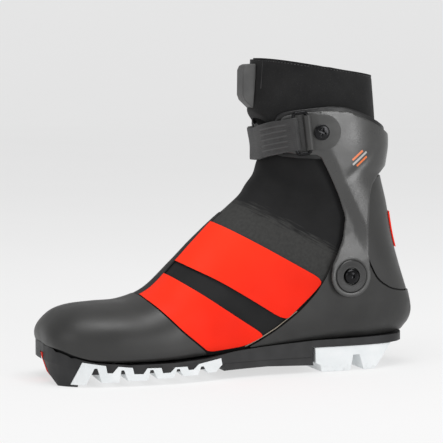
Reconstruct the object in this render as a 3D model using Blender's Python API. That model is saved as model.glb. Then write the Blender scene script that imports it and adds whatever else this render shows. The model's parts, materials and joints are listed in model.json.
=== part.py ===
"""Cross country skating boot, left foot: sole, upper, hinged ankle cuff, strap and zip.

Frame: toe towards -X, heel towards +X, outer (lateral) side -Y, inner (medial) side +Y, +Z up.
The origin is under the middle of the boot, on the ground.
Sizes are in millimetres and become metres as each mesh is made.
"""
import math

import bmesh
import bpy
import numpy as np
from mathutils import Matrix, Vector
from mathutils.bvhtree import BVHTree

MM = 0.001

# ---- overall sizes -------------------------------------------------------------------------
BOOT_LENGTH = 303.0         # toe cap to heel counter
SOLE_WIDTH = 98.0           # across the ball of the foot
BOOT_HEIGHT = 242.0         # ground to the front of the collar
DRAWN_LENGTH, DRAWN_WIDTH, DRAWN_HEIGHT = 306.0, 98.0, 242.0    # sizes the outlines are drawn at
SOLE_TOP = 30.0             # below this the heights belong to the sole and never stretch

# ---- walls, measured from the boot's outer skin (minus is inwards) -------------------------
GAP = 0.35                  # between two pieces that touch
LINING_ROOM = 0.8           # round the loose pieces inside the upper
FILM_ROOM = 0.5             # glue line under the welded film
FABRIC_OUT = -1.6
FABRIC_THICK = 1.6
OVERLAY_THICK = 1.0         # welded film panels
TOE_CAP_OUT = 0.3
COUNTER_OUT = 1.2
COLLAR_THICK = 3.0
BOARD_THICK = 1.4
INSOLE_THICK = 3.6
TONGUE_THICK = 3.0

# ---- cuff and its pivot ---------------------------------------------------------------------
PIVOT_X, PIVOT_Z = 86.0, 75.0
CUFF_WALL = 2.6
LINER_THICK = 2.2
BOSS_RADIUS = 16.5
WASHER_RADIUS = 12.5
WASHER_THICK = 1.2
BOLT_HEAD_RADIUS = 7.3
BOLT_HEAD_DOME = 3.6
BOLT_SHANK_RADIUS = 3.0
BUSHING_WALL = 1.2
NUT_WALL = 1.2
NUT_FLANGE_RADIUS = 8.0
SOCKET_RADIUS = 1.9

# ---- strap ----------------------------------------------------------------------------------
STRAP_WIDTH = 26.0
STRAP_THICK = 1.7
RING_WIRE = 1.3
RING_SPACING = 10.5         # between its two upright bars
ANCHOR_THICK = 2.0
ANCHOR_SCREW_RADIUS = 6.0
ANCHOR_SCREW_DOME = 0.9

# ---- sole -----------------------------------------------------------------------------------
TREAD_BAND = 4.0            # how far the rubber reaches in over the sole's edge
BAR_RADIUS = 2.0            # the steel bar that the ski binding grips
BAR_X, BAR_Z = -131.0, 5.4
BAR_SLOT_WIDTH = 20.0
GUIDE_GROOVE_WIDTH = 6.0
GUIDE_GROOVE_PITCH = 22.0

# ---- zip ------------------------------------------------------------------------------------
ZIP_Y = 26.0
ZIP_WIDTH = 5.6
ZIP_THICK = 1.4
ZIP_LENGTH = 62.0
SLIDER_LENGTH = 9.0
SLIDER_WIDTH = 8.0
SLIDER_THICK = 1.5
PULLER_LENGTH = 19.0
PULLER_WIDTH, PULLER_THICK = 5.2, 1.4
PULLER_EYE = 0.7            # from its hinge to its end: short enough to turn clear of the slider

BLACK = ((0.016, 0.016, 0.017, 1.0), 0.75, 0.0)
CHARCOAL = ((0.045, 0.045, 0.043, 1.0), 0.55, 0.0)
CUFF_GREY = ((0.085, 0.085, 0.082, 1.0), 0.35, 0.0)
RED = ((1.0, 0.055, 0.022, 1.0), 0.5, 0.0)
WHITE = ((0.84, 0.86, 0.87, 1.0), 0.5, 0.0)
STEEL = ((0.55, 0.56, 0.58, 1.0), 0.3, 1.0)
DARK_METAL = ((0.03, 0.03, 0.032, 1.0), 0.4, 0.8)
FOAM = ((0.12, 0.12, 0.125, 1.0), 0.9, 0.0)

for old in list(bpy.data.objects):
    bpy.data.objects.remove(old, do_unlink=True)


def new_collection(name):
    made = bpy.data.collections.new(name)
    bpy.context.scene.collection.children.link(made)
    return made


boot_parts = new_collection("cross_country_boot")
cutters = new_collection("cutters")


# ---- from the drawn outlines to the boot's own size -----------------------------------------
def to_x(x):
    return x * BOOT_LENGTH / DRAWN_LENGTH


def to_y(y):
    return y * SOLE_WIDTH / DRAWN_WIDTH


def to_z(z):
    if z <= SOLE_TOP:
        return z
    return SOLE_TOP + (z - SOLE_TOP) * (BOOT_HEIGHT - SOLE_TOP) / (DRAWN_HEIGHT - SOLE_TOP)


def side_points(points):
    return [(to_x(x), to_z(z)) for x, z in points]


PIVOT = (to_x(PIVOT_X), to_z(PIVOT_Z))


# ---- making objects ---------------------------------------------------------------------------
def finish(name, mesh_data, look=None, smooth=40.0):
    """A part when it has a look, otherwise a cutter."""
    obj = bpy.data.objects.new(name, mesh_data)
    if look is None:
        cutters.objects.link(obj)
        obj.hide_render = True
        obj.display_type = 'WIRE'
        return obj
    boot_parts.objects.link(obj)
    colour, roughness, metallic = look
    material = bpy.data.materials.new(name)
    material.use_nodes = True
    shader = material.node_tree.nodes["Principled BSDF"]
    shader.inputs["Base Color"].default_value = colour
    shader.inputs["Roughness"].default_value = roughness
    shader.inputs["Metallic"].default_value = metallic
    mesh_data.materials.append(material)
    mesh_data.shade_smooth()
    mesh_data.set_sharp_from_angle(angle=math.radians(smooth))
    return obj


def mesh_from(bm, name):
    bmesh.ops.recalc_face_normals(bm, faces=bm.faces[:])
    bmesh.ops.scale(bm, vec=(MM, MM, MM), verts=bm.verts[:])
    data = bpy.data.meshes.new(name)
    bm.to_mesh(data)
    bm.free()
    return data


def boolean(obj, cutter, operation):
    modifier = obj.modifiers.new(operation.lower(), 'BOOLEAN')
    modifier.operation = operation
    modifier.object = cutter
    modifier.solver = 'EXACT'
    return obj


def prism(name, outline, y_low=-80.0, y_high=80.0, look=None, skew=0.0):
    """A side-view outline of (x, z) points, run across the boot; a skew carries it back medially."""
    bm = bmesh.new()
    face = bm.faces.new([bm.verts.new((x + skew * y_low, y_low, z)) for x, z in outline])
    run = bmesh.ops.extrude_face_region(bm, geom=[face])
    moved = [item for item in run["geom"] if isinstance(item, bmesh.types.BMVert)]
    bmesh.ops.translate(bm, vec=(skew * (y_high - y_low), y_high - y_low, 0.0), verts=moved)
    return finish(name, mesh_from(bm, name), look)


def box(name, low, high):
    bm = bmesh.new()
    bmesh.ops.create_cube(bm, size=1.0)
    for vert in bm.verts:
        vert.co = [low[k] if vert.co[k] < 0 else high[k] for k in range(3)]
    return finish(name, mesh_from(bm, name))


def turned(name, profile, centre, axis, look=None, sides=20):
    """A turned piece: (radius, along) points from one end to the other, about an axis."""
    bm = bmesh.new()
    rings = []
    for radius, along in profile:
        if radius < 1e-6:
            rings.append([bm.verts.new((0.0, 0.0, along))])
            continue
        turn = [2 * math.pi * k / sides for k in range(sides)]
        rings.append([bm.verts.new((radius * math.cos(a), radius * math.sin(a), along)) for a in turn])
    closed = profile[0][0] > 1e-6 and profile[-1] == profile[0]
    if closed:
        for vert in rings.pop():
            bm.verts.remove(vert)
        rings.append(rings[0])
    for near, far in zip(rings, rings[1:]):
        for k in range(sides):
            n = (k + 1) % sides
            corners = [near[k % len(near)], near[n % len(near)], far[n % len(far)], far[k % len(far)]]
            bm.faces.new(list(dict.fromkeys(corners)))
    turn = Vector((0, 0, 1)).rotation_difference(Vector(axis)).to_matrix().to_4x4()
    bmesh.ops.transform(bm, matrix=Matrix.Translation(centre) @ turn, verts=bm.verts[:])
    return finish(name, mesh_from(bm, name), look)


def grow(outline, distance):
    """The same closed outline, moved outwards by a distance, corners mitred."""
    points = [Vector(p) for p in outline]
    area = sum(a.x * b.y - b.x * a.y for a, b in zip(points, points[1:] + points[:1]))
    out = 1.0 if area > 0 else -1.0
    grown = []
    for before, here, after in zip(points[-1:] + points[:-1], points, points[1:] + points[:1]):
        first = (here - before).normalized()
        second = (after - here).normalized()
        normal_a = Vector((first.y, -first.x)) * out
        normal_b = Vector((second.y, -second.x)) * out
        mitre = (normal_a + normal_b).normalized()
        reach = distance / max(mitre.dot(normal_a), 0.4)
        grown.append(tuple(here + mitre * reach))
    return grown


def rounded(outline, steps=3, closed=True):
    """A smooth curve through the outline's points."""
    count = len(outline)
    points = [np.array(p, float) for p in outline]
    curve = []
    for i in range(count if closed else count - 1):
        if closed:
            a, b, c, d = (points[(i + k) % count] for k in (-1, 0, 1, 2))
        else:
            a, b, c, d = (points[min(max(i + k, 0), count - 1)] for k in (-1, 0, 1, 2))
        for step in range(steps):
            t = step / steps
            curve.append(tuple(0.5 * (2 * b + (c - a) * t + (2 * a - 5 * b + 4 * c - d) * t ** 2
                                      + (3 * b - a - 3 * c + d) * t ** 3)))
    if not closed:
        curve.append(tuple(points[-1]))
    return curve


# ---- lofted skins -------------------------------------------------------------------------------
class Skin:
    """A lofted tube of closed rings; its walls are this skin moved along its normals."""

    def __init__(self, rings):
        self.rings = np.array(rings)
        along = np.gradient(self.rings, axis=0)
        around = np.roll(self.rings, -1, axis=1) - np.roll(self.rings, 1, axis=1)
        normal = np.cross(along, around)
        normal /= np.linalg.norm(normal, axis=2, keepdims=True)
        middle = self.rings.mean(axis=1, keepdims=True)
        if (normal * (self.rings - middle)).sum() < 0:
            normal = -normal
        self.normals = normal

    def moved(self, offset):
        return self.rings + self.normals * offset

    def solid(self, name, offset, look=None):
        bm = bmesh.new()
        rows = add_rows(bm, self.moved(offset))
        close_end(bm, rows[0])
        close_end(bm, rows[-1])
        return finish(name, mesh_from(bm, name), look)

    def wall(self, name, low, high, look=None, closed_toe=False):
        """The wall between two offsets. A closed toe has both surfaces shut at the first ring."""
        bm = bmesh.new()
        outer = add_rows(bm, self.moved(high))
        inner = add_rows(bm, self.moved(low))
        join_rings(bm, outer[-1], inner[-1])
        if closed_toe:
            close_end(bm, outer[0])
            close_end(bm, inner[0])
        else:
            join_rings(bm, outer[0], inner[0])
        return finish(name, mesh_from(bm, name), look)


def add_rows(bm, grid):
    rows = [[bm.verts.new(point) for point in ring] for ring in grid]
    for near, far in zip(rows, rows[1:]):
        join_rings(bm, near, far)
    return rows


def join_rings(bm, near, far):
    count = len(near)
    for k in range(count):
        n = (k + 1) % count
        bm.faces.new((near[k], near[n], far[n], far[k]))


def close_end(bm, ring):
    middle = bm.verts.new(sum((v.co for v in ring), Vector()) / len(ring))
    for k, vert in enumerate(ring):
        bm.faces.new((vert, ring[(k + 1) % len(ring)], middle))


def half_oval(angle, power):
    """Across and along shares of a superellipse at an angle from its widest point."""
    across = abs(math.cos(angle)) ** (2.0 / power)
    along = math.copysign(abs(math.sin(angle)) ** (2.0 / power), math.sin(angle))
    return across, along


# Stations from the toe to the collar. Each is a flat section through a lower (or rear) point and
# an upper (or front) point: low x, low z, high x, high z, lateral y, medial y, ridge y,
# widest share of the way up, squareness of the low half, squareness of the high half.
BODY_STATIONS = [
    (-152.4, 33.0, -152.4, 35.6, 4.0, 10.0, 7.0, 0.50, 2.0, 2.0),
    (-150.6, 27.0, -151.0, 40.6, -16.0, 25.0, 6.5, 0.46, 2.2, 2.1),
    (-146.0, 21.0, -146.6, 46.8, -27.5, 33.5, 6.0, 0.40, 2.6, 2.2),
    (-137.0, 16.0, -138.0, 53.2, -36.5, 40.0, 5.0, 0.34, 3.0, 2.3),
    (-124.0, 14.3, -125.5, 56.4, -42.5, 44.5, 4.0, 0.30, 3.4, 2.4),
    (-105.0, 14.0, -107.0, 57.6, -46.6, 47.6, 4.0, 0.28, 3.8, 2.45),
    (-83.0, 14.0, -86.0, 58.9, -48.3, 48.4, 4.0, 0.28, 4.0, 2.4),
    (-60.0, 14.0, -66.0, 67.2, -48.2, 45.8, 4.0, 0.28, 4.0, 2.2),
    (-35.0, 14.0, -46.0, 86.6, -43.8, 40.6, 4.0, 0.27, 4.0, 2.1),
    (-5.0, 14.4, -29.5, 103.6, -39.2, 36.6, 4.0, 0.28, 4.0, 2.05),
    (32.0, 17.5, -12.5, 120.0, -37.0, 35.4, 3.0, 0.32, 3.8, 2.1),
    (75.0, 20.0, 4.8, 133.4, -37.2, 36.2, 2.0, 0.38, 3.6, 2.2),
    (116.0, 20.4, 15.2, 145.8, -38.6, 38.0, 1.0, 0.42, 3.0, 2.3),
    (140.0, 24.5, 22.0, 156.4, -38.6, 38.2, 0.0, 0.45, 2.3, 2.3),
    (151.5, 36.0, 26.4, 166.5, -38.6, 38.4, 0.0, 0.45, 2.15, 2.3),
    (151.2, 50.0, 26.4, 175.5, -38.4, 38.4, 0.0, 0.47, 2.15, 2.3),
    (142.8, 76.0, 26.4, 185.5, -38.2, 38.2, 0.0, 0.50, 2.2, 2.3),
    (136.0, 100.0, 20.4, 195.5, -37.6, 37.6, 0.0, 0.50, 2.2, 2.3),
    (131.2, 127.0, 15.6, 202.5, -37.0, 37.0, 0.0, 0.50, 2.2, 2.3),
    (124.2, 156.0, 16.6, 213.0, -37.0, 37.0, 0.0, 0.50, 2.25, 2.35),
    (122.3, 192.0, 17.8, 226.5, -37.6, 37.6, 0.0, 0.50, 2.3, 2.4),
    (118.6, 229.0, 19.0, 242.0, -38.6, 38.6, 0.0, 0.50, 2.35, 2.45),
]
BODY_SIDES = 26
BODY_STEPS = 1


def body_ring(station):
    low_x, low_z, high_x, high_z, lateral, medial, ridge, widest, low_power, high_power = station
    ring = []
    for k in range(BODY_SIDES):
        angle = -math.pi / 2 + 2 * math.pi * k / BODY_SIDES
        power = low_power if math.sin(angle) < 0 else high_power
        across, along = half_oval(angle, power)
        share = widest + along * (widest if along < 0 else 1.0 - widest)
        edge = lateral if k < BODY_SIDES / 2 else medial
        ring.append((to_x(low_x + share * (high_x - low_x)),
                     to_y(ridge + across * (edge - ridge)),
                     to_z(low_z + share * (high_z - low_z))))
    return ring


body = Skin([body_ring(station) for station in rounded(BODY_STATIONS, steps=BODY_STEPS, closed=False)])

# The cuff's outer face, in level rings: height, front x, rear x, half width, squareness.
CUFF_LEVELS = [
    (52.0, 30.0, 140.0, 43.6, 5.0),
    (80.0, 30.0, 140.0, 43.6, 5.0),
    (110.0, 28.0, 136.0, 43.6, 4.4),
    (135.0, 27.0, 127.5, 43.6, 3.6),
    (152.0, 26.5, 124.5, 43.6, 2.9),
    (161.0, 26.5, 126.0, 43.8, 3.0),
    (175.0, 26.6, 128.0, 44.0, 3.0),
    (188.0, 24.2, 127.4, 44.0, 3.0),
    (200.0, 21.5, 125.0, 43.8, 3.0),
    (216.0, 20.0, 121.0, 43.4, 3.0),
]
CUFF_SIDES = 32
CUFF_STEPS = 1


def cuff_ring(level):
    height, front, rear, half_width, power = level
    middle, reach = (front + rear) / 2, (rear - front) / 2
    ring = []
    for k in range(CUFF_SIDES):
        angle = 2 * math.pi * k / CUFF_SIDES
        across, along = half_oval(angle, power)
        side = 1.0 if math.cos(angle) > 0 else -1.0
        ring.append((to_x(middle - along * reach), to_y(side * across * half_width), to_z(height)))
    return ring


cuff_skin = Skin([cuff_ring(level) for level in rounded(CUFF_LEVELS, steps=CUFF_STEPS, closed=False)])


def skin_hit(skin, start, direction, offset=0.0):
    """Where a straight line meets a skin from outside, with the outward normal there."""
    bm = bmesh.new()
    rows = add_rows(bm, skin.moved(offset))
    close_end(bm, rows[0])
    close_end(bm, rows[-1])
    bmesh.ops.recalc_face_normals(bm, faces=bm.faces[:])
    tree = BVHTree.FromBMesh(bm)
    bm.free()
    point, normal, _, _ = tree.ray_cast(Vector(start), Vector(direction))
    return point, normal


# ---- side-view outlines ---------------------------------------------------------------------
TOE_SEAM = [(-76.0, 80.0), (-76.0, 62.0), (-70.0, 55.0), (-55.0, 39.0), (-40.0, 27.0), (-30.0, 18.5)]
TOE_CAP_OUTLINE = side_points(TOE_SEAM + [(-60.0, 17.2), (-95.0, 17.2), (-120.0, 19.0), (-135.0, 23.0),
                                          (-146.0, 28.0), (-170.0, 29.0), (-170.0, 80.0)])
COUNTER_FRONT = [(2.0, 22.3), (12.0, 27.0), (27.0, 35.5), (44.5, 48.0), (58.5, 62.0), (67.5, 76.0),
                 (73.0, 90.0)]
COUNTER_OUTLINE = side_points(COUNTER_FRONT + [(86.0, 97.0), (100.0, 88.0), (110.0, 70.0), (126.0, 61.0),
                                               (165.0, 58.0), (165.0, 26.8), (60.0, 25.6), (20.0, 23.2)])
HEEL_PANEL_OUTLINE = side_points([(102.0, 88.5), (111.5, 71.0), (127.0, 62.0), (165.0, 59.2),
                                  (165.0, 124.0), (104.0, 124.0), (99.0, 108.0)])
LOWER_RED_OUTLINE = side_points([(-75.0, 62.5), (-69.0, 55.8), (-54.0, 40.0), (-39.0, 28.0), (-31.0, 21.5),
                                 (0.0, 24.0), (10.0, 28.0), (16.5, 31.5), (-6.0, 46.0), (-30.0, 62.0),
                                 (-48.0, 73.5), (-60.0, 83.0), (-64.0, 80.0), (-69.0, 68.0)])
UPPER_RED_OUTLINE = side_points([(-50.0, 93.0), (-44.0, 86.5), (-20.0, 74.5), (5.0, 59.5), (33.5, 41.8),
                                 (42.0, 49.0), (57.0, 62.6), (65.0, 72.5), (41.0, 86.0), (10.0, 103.5),
                                 (-8.0, 113.5), (-18.0, 119.0), (-21.0, 124.0)])
INSTEP_OUTLINE = side_points([(-75.2, 72.0), (-75.2, 62.4), (-69.2, 55.4), (-60.0, 50.0), (-20.0, 95.0),
                              (2.0, 115.0), (-12.0, 130.0), (-40.0, 110.0)])
SLEEVE_LOW = [(-40.0, 126.0), (160.0, 126.0)]
SLEEVE_HIGH = [(-40.0, 163.0), (160.0, 163.0)]
CUFF_OUTLINE = side_points([
    (32.0, 199.0), (46.0, 201.6), (66.0, 203.0), (84.0, 202.0), (104.0, 194.0), (136.0, 177.5),
    (142.0, 172.0), (142.0, 166.0), (131.0, 163.5), (119.0, 157.5), (110.0, 151.5), (104.5, 146.0),
    (102.0, 138.0), (101.0, 125.0), (100.5, 110.0), (101.0, 98.0), (PIVOT_X + 15.5, 85.0)])
CUFF_FRONT_EDGE = side_points([(PIVOT_X - 15.5, 84.0), (75.0, 93.0), (79.5, 104.0), (81.5, 121.0),
                               (75.5, 138.0), (68.0, 154.0), (60.0, 168.5), (36.0, 170.5), (31.0, 175.0),
                               (30.0, 190.0)])
RED_TAB_OUTLINE = side_points([(120.0, 94.0), (160.0, 94.0), (160.0, 122.0), (120.0, 122.0)])


def arc(centre, radius, start, end, steps):
    """Points on a circle between two angles in degrees."""
    turns = [math.radians(start + (end - start) * k / steps) for k in range(steps + 1)]
    return [(centre[0] + radius * math.cos(a), centre[1] + radius * math.sin(a)) for a in turns]


cuff_outline = CUFF_OUTLINE + arc(PIVOT, BOSS_RADIUS, 20.0, -200.0, 12) + CUFF_FRONT_EDGE


# ---- upper ------------------------------------------------------------------------------------
def region(name, outline, y_low=-80.0, y_high=80.0):
    return prism(name + "_region", outline, y_low, y_high)


def overlay(name, outline, low, high, look, y_low=-80.0, y_high=80.0):
    """A panel moulded to the boot's skin inside a side-view outline."""
    panel = body.wall(name, low, high, look, closed_toe=True)
    return boolean(panel, region(name, outline, y_low, y_high), 'INTERSECT')


fabric_in = FABRIC_OUT - FABRIC_THICK
film_in = FABRIC_OUT + FILM_ROOM
film_out = film_in + OVERLAY_THICK
low_line, high_line = side_points(SLEEVE_LOW), side_points(SLEEVE_HIGH)
BELOW, ABOVE = -30.0, 400.0


def band_outline(low, high):
    return [(low[0][0] - 200.0, low[0][1]), (low[1][0] + 200.0, low[1][1]),
            (high[1][0] + 200.0, high[1][1]), (high[0][0] - 200.0, high[0][1])]


def level(z):
    return [(-1.0, z), (1.0, z)]


upper = overlay("upper", band_outline(level(BELOW), [(x, z - GAP / 2) for x, z in low_line]),
                fabric_in, FABRIC_OUT, BLACK)
ankle_sleeve = overlay("ankle_sleeve", band_outline([(x, z + GAP / 2) for x, z in low_line],
                                                    [(x, z - GAP / 2) for x, z in high_line]),
                       fabric_in, FABRIC_OUT, BLACK)
collar = overlay("collar", band_outline([(x, z + GAP / 2) for x, z in high_line], level(ABOVE)),
                 FABRIC_OUT - COLLAR_THICK, FABRIC_OUT, BLACK)
toe_cap = overlay("toe_cap", TOE_CAP_OUTLINE, film_in, TOE_CAP_OUT, CHARCOAL)
heel_counter = overlay("heel_counter", COUNTER_OUTLINE, film_in, COUNTER_OUT, CHARCOAL)
heel_panel = overlay("heel_panel", HEEL_PANEL_OUTLINE, film_in, TOE_CAP_OUT, CHARCOAL)
HEEL_TAB_HALF = 17.0        # it wraps a little way round the heel
heel_tab = overlay("heel_tab", RED_TAB_OUTLINE, TOE_CAP_OUT + GAP, TOE_CAP_OUT + GAP + OVERLAY_THICK, RED,
                   -HEEL_TAB_HALF, HEEL_TAB_HALF)
RIDGE_LATERAL, RIDGE_MEDIAL = 0.5, 18.0
overlay("red_panel_lower_lateral", LOWER_RED_OUTLINE, film_in, film_out, RED, -80.0, RIDGE_LATERAL - GAP)
overlay("red_panel_upper_lateral", UPPER_RED_OUTLINE, film_in, film_out, RED, -80.0, RIDGE_LATERAL - GAP)
overlay("red_panel_lower_medial", LOWER_RED_OUTLINE, film_in, film_out, RED, ZIP_Y + 6.0, 80.0)
overlay("red_panel_upper_medial", UPPER_RED_OUTLINE, film_in, film_out, RED, ZIP_Y + 6.0, 80.0)
overlay("instep_cover", INSTEP_OUTLINE, film_in, film_out, BLACK, RIDGE_LATERAL, RIDGE_MEDIAL)

# ---- inside the boot -------------------------------------------------------------------------
inner = fabric_in - LINING_ROOM
FLOOR_LINE = [(-200.0, 14.0), (-15.0, 14.0), (62.0, 20.2), (200.0, 20.4)]


def floor_slice(name, low, high):
    """The space between two heights over the boot's inside floor, which rises under the heel."""
    under = [(to_x(x), z - inner + low) for x, z in FLOOR_LINE]
    over = [(to_x(x), z - inner + high) for x, z in reversed(FLOOR_LINE)]
    return region(name, under + over)


board = body.solid("lasting_board", inner, FOAM)
boolean(board, floor_slice("board", -2.0, BOARD_THICK), 'INTERSECT')
insole = body.solid("insole", inner, FOAM)
boolean(insole, floor_slice("insole", BOARD_THICK + GAP, BOARD_THICK + GAP + INSOLE_THICK), 'INTERSECT')
TONGUE_OUTLINE = side_points([(-72.0, 54.0), (-72.0, 75.0), (-30.0, 118.0), (-8.0, 125.0), (26.0, 125.0),
                              (0.0, 98.0), (-40.0, 62.0)])
tongue = overlay("tongue", TONGUE_OUTLINE, inner - TONGUE_THICK, inner, BLACK, -22.0, 22.0)

# ---- sole ------------------------------------------------------------------------------------
# Plan outline at the sole's edge, lateral side from toe to heel and back on the medial side.
SOLE_PLAN = [(-152.2, 5.0), (-150.4, -14.0), (-145.0, -27.0), (-134.5, -36.6), (-121.0, -42.6),
             (-100.0, -46.6), (-70.0, -48.8), (-42.0, -46.2), (-12.0, -39.0), (20.0, -35.2), (60.0, -34.4),
             (100.0, -33.6), (126.5, -28.4), (140.0, -17.5), (144.8, 0.0), (140.5, 17.5),
             (127.5, 28.8), (100.0, 33.8), (60.0, 34.0), (18.0, 33.6), (-16.0, 37.2),
             (-46.0, 43.6), (-78.0, 48.8), (-106.0, 47.0), (-124.0, 43.6), (-137.5, 39.0), (-146.6, 31.6),
             (-150.8, 22.0)]
plan_curve = [(to_x(x), to_y(y)) for x, y in rounded(SOLE_PLAN, steps=2)]


def plan_prism(name, outline, z_low, z_high, look=None):
    bm = bmesh.new()
    face = bm.faces.new([bm.verts.new((x, y, z_low)) for x, y in outline])
    run = bmesh.ops.extrude_face_region(bm, geom=[face])
    moved = [item for item in run["geom"] if isinstance(item, bmesh.types.BMVert)]
    bmesh.ops.translate(bm, vec=(0.0, 0.0, z_high - z_low), verts=moved)
    return finish(name, mesh_from(bm, name), look)


SEAM_LINE = [(-170.0, 29.6), (-152.0, 29.4), (-147.0, 27.0), (-139.0, 23.0), (-131.0, 20.2),
             (-120.0, 17.8), (-95.0, 15.8), (-60.0, 15.8), (-31.0, 17.2), (-8.0, 20.6), (14.0, 22.4),
             (60.0, 25.0), (170.0, 26.2)]
TREAD_INNER_TOP = 9.0       # top of the forefoot rubber inside its edge band
CHASSIS_FOOT = TREAD_INNER_TOP + GAP
HEEL_SEAT = 19.6            # underside of the chassis over the heel's rubber
sole_side = side_points(SEAM_LINE + [(170.0, 20.0), (126.0, HEEL_SEAT), (57.4, HEEL_SEAT), (57.2, 12.0),
                                     (-18.0, 12.0), (-20.0, CHASSIS_FOOT), (-130.0, CHASSIS_FOOT),
                                     (-134.0, 14.0), (-170.0, 20.0)])
sole_chassis = plan_prism("sole_chassis", plan_curve, -2.0, 34.0, BLACK)
boolean(sole_chassis, region("sole_side", sole_side), 'INTERSECT')
TOE_BLOCK_SKEW = 0.2        # its front edge runs back towards the medial side
TOE_BLOCK_Y = 2.0
toe_block = prism("toe_block", [(to_x(x), z) for x, z in [
    (-153.0, 29.0), (-152.4, 25.0), (-151.0, 19.0), (-147.0, 8.0), (-140.6, 0.0), (-126.0, 0.0),
    (-123.4, 9.0), (-123.4, 20.0)]], skew=TOE_BLOCK_SKEW)
boolean(toe_block, plan_prism("toe_block_plan", grow(plan_curve, -0.4), -20.0, 60.0), 'INTERSECT')
boolean(sole_chassis, toe_block, 'UNION')
upper_bed = body.solid("upper_bed", TOE_CAP_OUT + GAP)
boolean(sole_chassis, upper_bed, 'DIFFERENCE')

BAR_CENTRE = Vector((to_x(BAR_X), TOE_BLOCK_Y, BAR_Z))
bar_slot = box("bar_slot", (BAR_CENTRE.x - 3.6, TOE_BLOCK_Y - BAR_SLOT_WIDTH / 2, -3.0),
               (BAR_CENTRE.x + 4.6, TOE_BLOCK_Y + BAR_SLOT_WIDTH / 2, BAR_Z + 4.4))
boolean(sole_chassis, bar_slot, 'DIFFERENCE')
BAR_HALF = BAR_SLOT_WIDTH / 2 + 4.0
bar_bore = turned("bar_bore", [(0.0, -BAR_HALF - GAP), (BAR_RADIUS + GAP, -BAR_HALF - GAP),
                               (BAR_RADIUS + GAP, BAR_HALF + GAP), (0.0, BAR_HALF + GAP)],
                  BAR_CENTRE, (0, 1, 0), sides=20)
boolean(sole_chassis, bar_bore, 'DIFFERENCE')
binding_bar = turned("binding_bar", [(0.0, -BAR_HALF), (BAR_RADIUS, -BAR_HALF), (BAR_RADIUS, BAR_HALF),
                                     (0.0, BAR_HALF)], BAR_CENTRE, (0, 1, 0), STEEL, sides=20)
TOE_INSERT_HALF = 10.0
TOE_INSERT_Y = 6.0
insert_outline = [(to_x(x), z) for x, z in [
    (-152.2, 22.4), (-151.8, 18.8), (-148.0, 7.9), (-145.2, 4.2), (-143.6, 5.0), (-146.4, 8.7),
    (-150.0, 19.0), (-150.6, 22.2)]]
prism("toe_insert", insert_outline, TOE_INSERT_Y - TOE_INSERT_HALF, TOE_INSERT_Y + TOE_INSERT_HALF,
                   RED, TOE_BLOCK_SKEW)
insert_seat = prism("toe_insert_seat", grow(insert_outline, GAP), TOE_INSERT_Y - TOE_INSERT_HALF - GAP,
                    TOE_INSERT_Y + TOE_INSERT_HALF + GAP, skew=TOE_BLOCK_SKEW)
boolean(sole_chassis, insert_seat, 'DIFFERENCE')

# Rubber under the forefoot: lugs with open gaps below, and a stepped band up the sole's edge.
# each lug: front and rear of its foot, height of its foot, top of the gap behind it, gap's top ends
LUGS = [
    (-138.4, -127.8, 1.6, 14.0, -121.6, -119.6), (-116.2, -103.4, 3.2, 12.2, -101.6, -99.6),
    (-96.4, -81.4, 4.0, 11.6, -79.4, -77.2), (-74.0, -60.8, 4.8, 11.2, -58.2, -56.4),
    (-53.2, -41.0, 5.4, 11.6, -38.2, -36.2), (-32.6, -25.8, 6.2, None, None, None)]
band_top = [(-19.9, 11.4), (-20.9, 16.4), (-40.4, 13.6), (-44.6, 9.8), (-48.8, 9.8), (-49.8, 12.4),
            (-59.6, 12.6), (-63.6, 8.8), (-69.6, 8.8), (-70.8, 12.8), (-81.8, 13.0), (-84.8, 8.8),
            (-91.8, 9.0), (-93.0, 13.8), (-103.8, 15.0), (-108.2, 10.2), (-112.2, 10.4), (-113.2, 15.8),
            (-130.4, 18.4)]
tread_outline = list(band_top)
for front, rear, foot, gap_top, gap_front, gap_rear in LUGS:
    tread_outline += [(front, foot), (rear, foot)]
    if gap_top:
        tread_outline += [(gap_front, gap_top), (gap_rear, gap_top)]
TREAD_SKEW = 0.06
TREAD_EDGE_Y = -40.0        # the lugs are drawn where the boot's outer edge cuts them
tread_outline = [(to_x(x) - TREAD_SKEW * TREAD_EDGE_Y, z) for x, z in tread_outline]
forefoot_tread = plan_prism("forefoot_tread", plan_curve, -2.0, 30.0, WHITE)
boolean(forefoot_tread, prism("tread_side", tread_outline, skew=TREAD_SKEW), 'INTERSECT')
tread_core = plan_prism("tread_core", grow(plan_curve, -TREAD_BAND), TREAD_INNER_TOP, 40.0)
boolean(forefoot_tread, tread_core, 'DIFFERENCE')
tread_pocket = plan_prism("tread_pocket", grow(plan_curve, 4.0), -4.0, 30.0)
boolean(tread_pocket, prism("tread_pocket_side", grow(tread_outline, GAP), skew=TREAD_SKEW), 'INTERSECT')
NOTCH = (to_x(-122.4), -24.0, 28.0)     # the toe block comes down between the first lugs
boolean(forefoot_tread, box("toe_notch", (-200.0, NOTCH[1], -9.0), (NOTCH[0], NOTCH[2], 40.0)), 'DIFFERENCE')
boolean(tread_pocket, box("toe_notch_core", (-200.0, NOTCH[1] + GAP, -9.0),
                          (NOTCH[0] - GAP, NOTCH[2] - GAP, 40.0)), 'DIFFERENCE')
boolean(tread_pocket, plan_prism("tread_pocket_core", grow(plan_curve, -TREAD_BAND - GAP),
                                 TREAD_INNER_TOP + GAP, 40.0), 'DIFFERENCE')
boolean(sole_chassis, tread_pocket, 'DIFFERENCE')
for side in (-1, 1):
    middle = TOE_BLOCK_Y + side * GUIDE_GROOVE_PITCH / 2
    groove = box("guide_groove_%d" % (side + 1), (to_x(-160.0), middle - GUIDE_GROOVE_WIDTH / 2, -4.0),
                 (to_x(-10.0), middle + GUIDE_GROOVE_WIDTH / 2, TREAD_INNER_TOP - 1.6))
    boolean(forefoot_tread, groove, 'DIFFERENCE')

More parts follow.
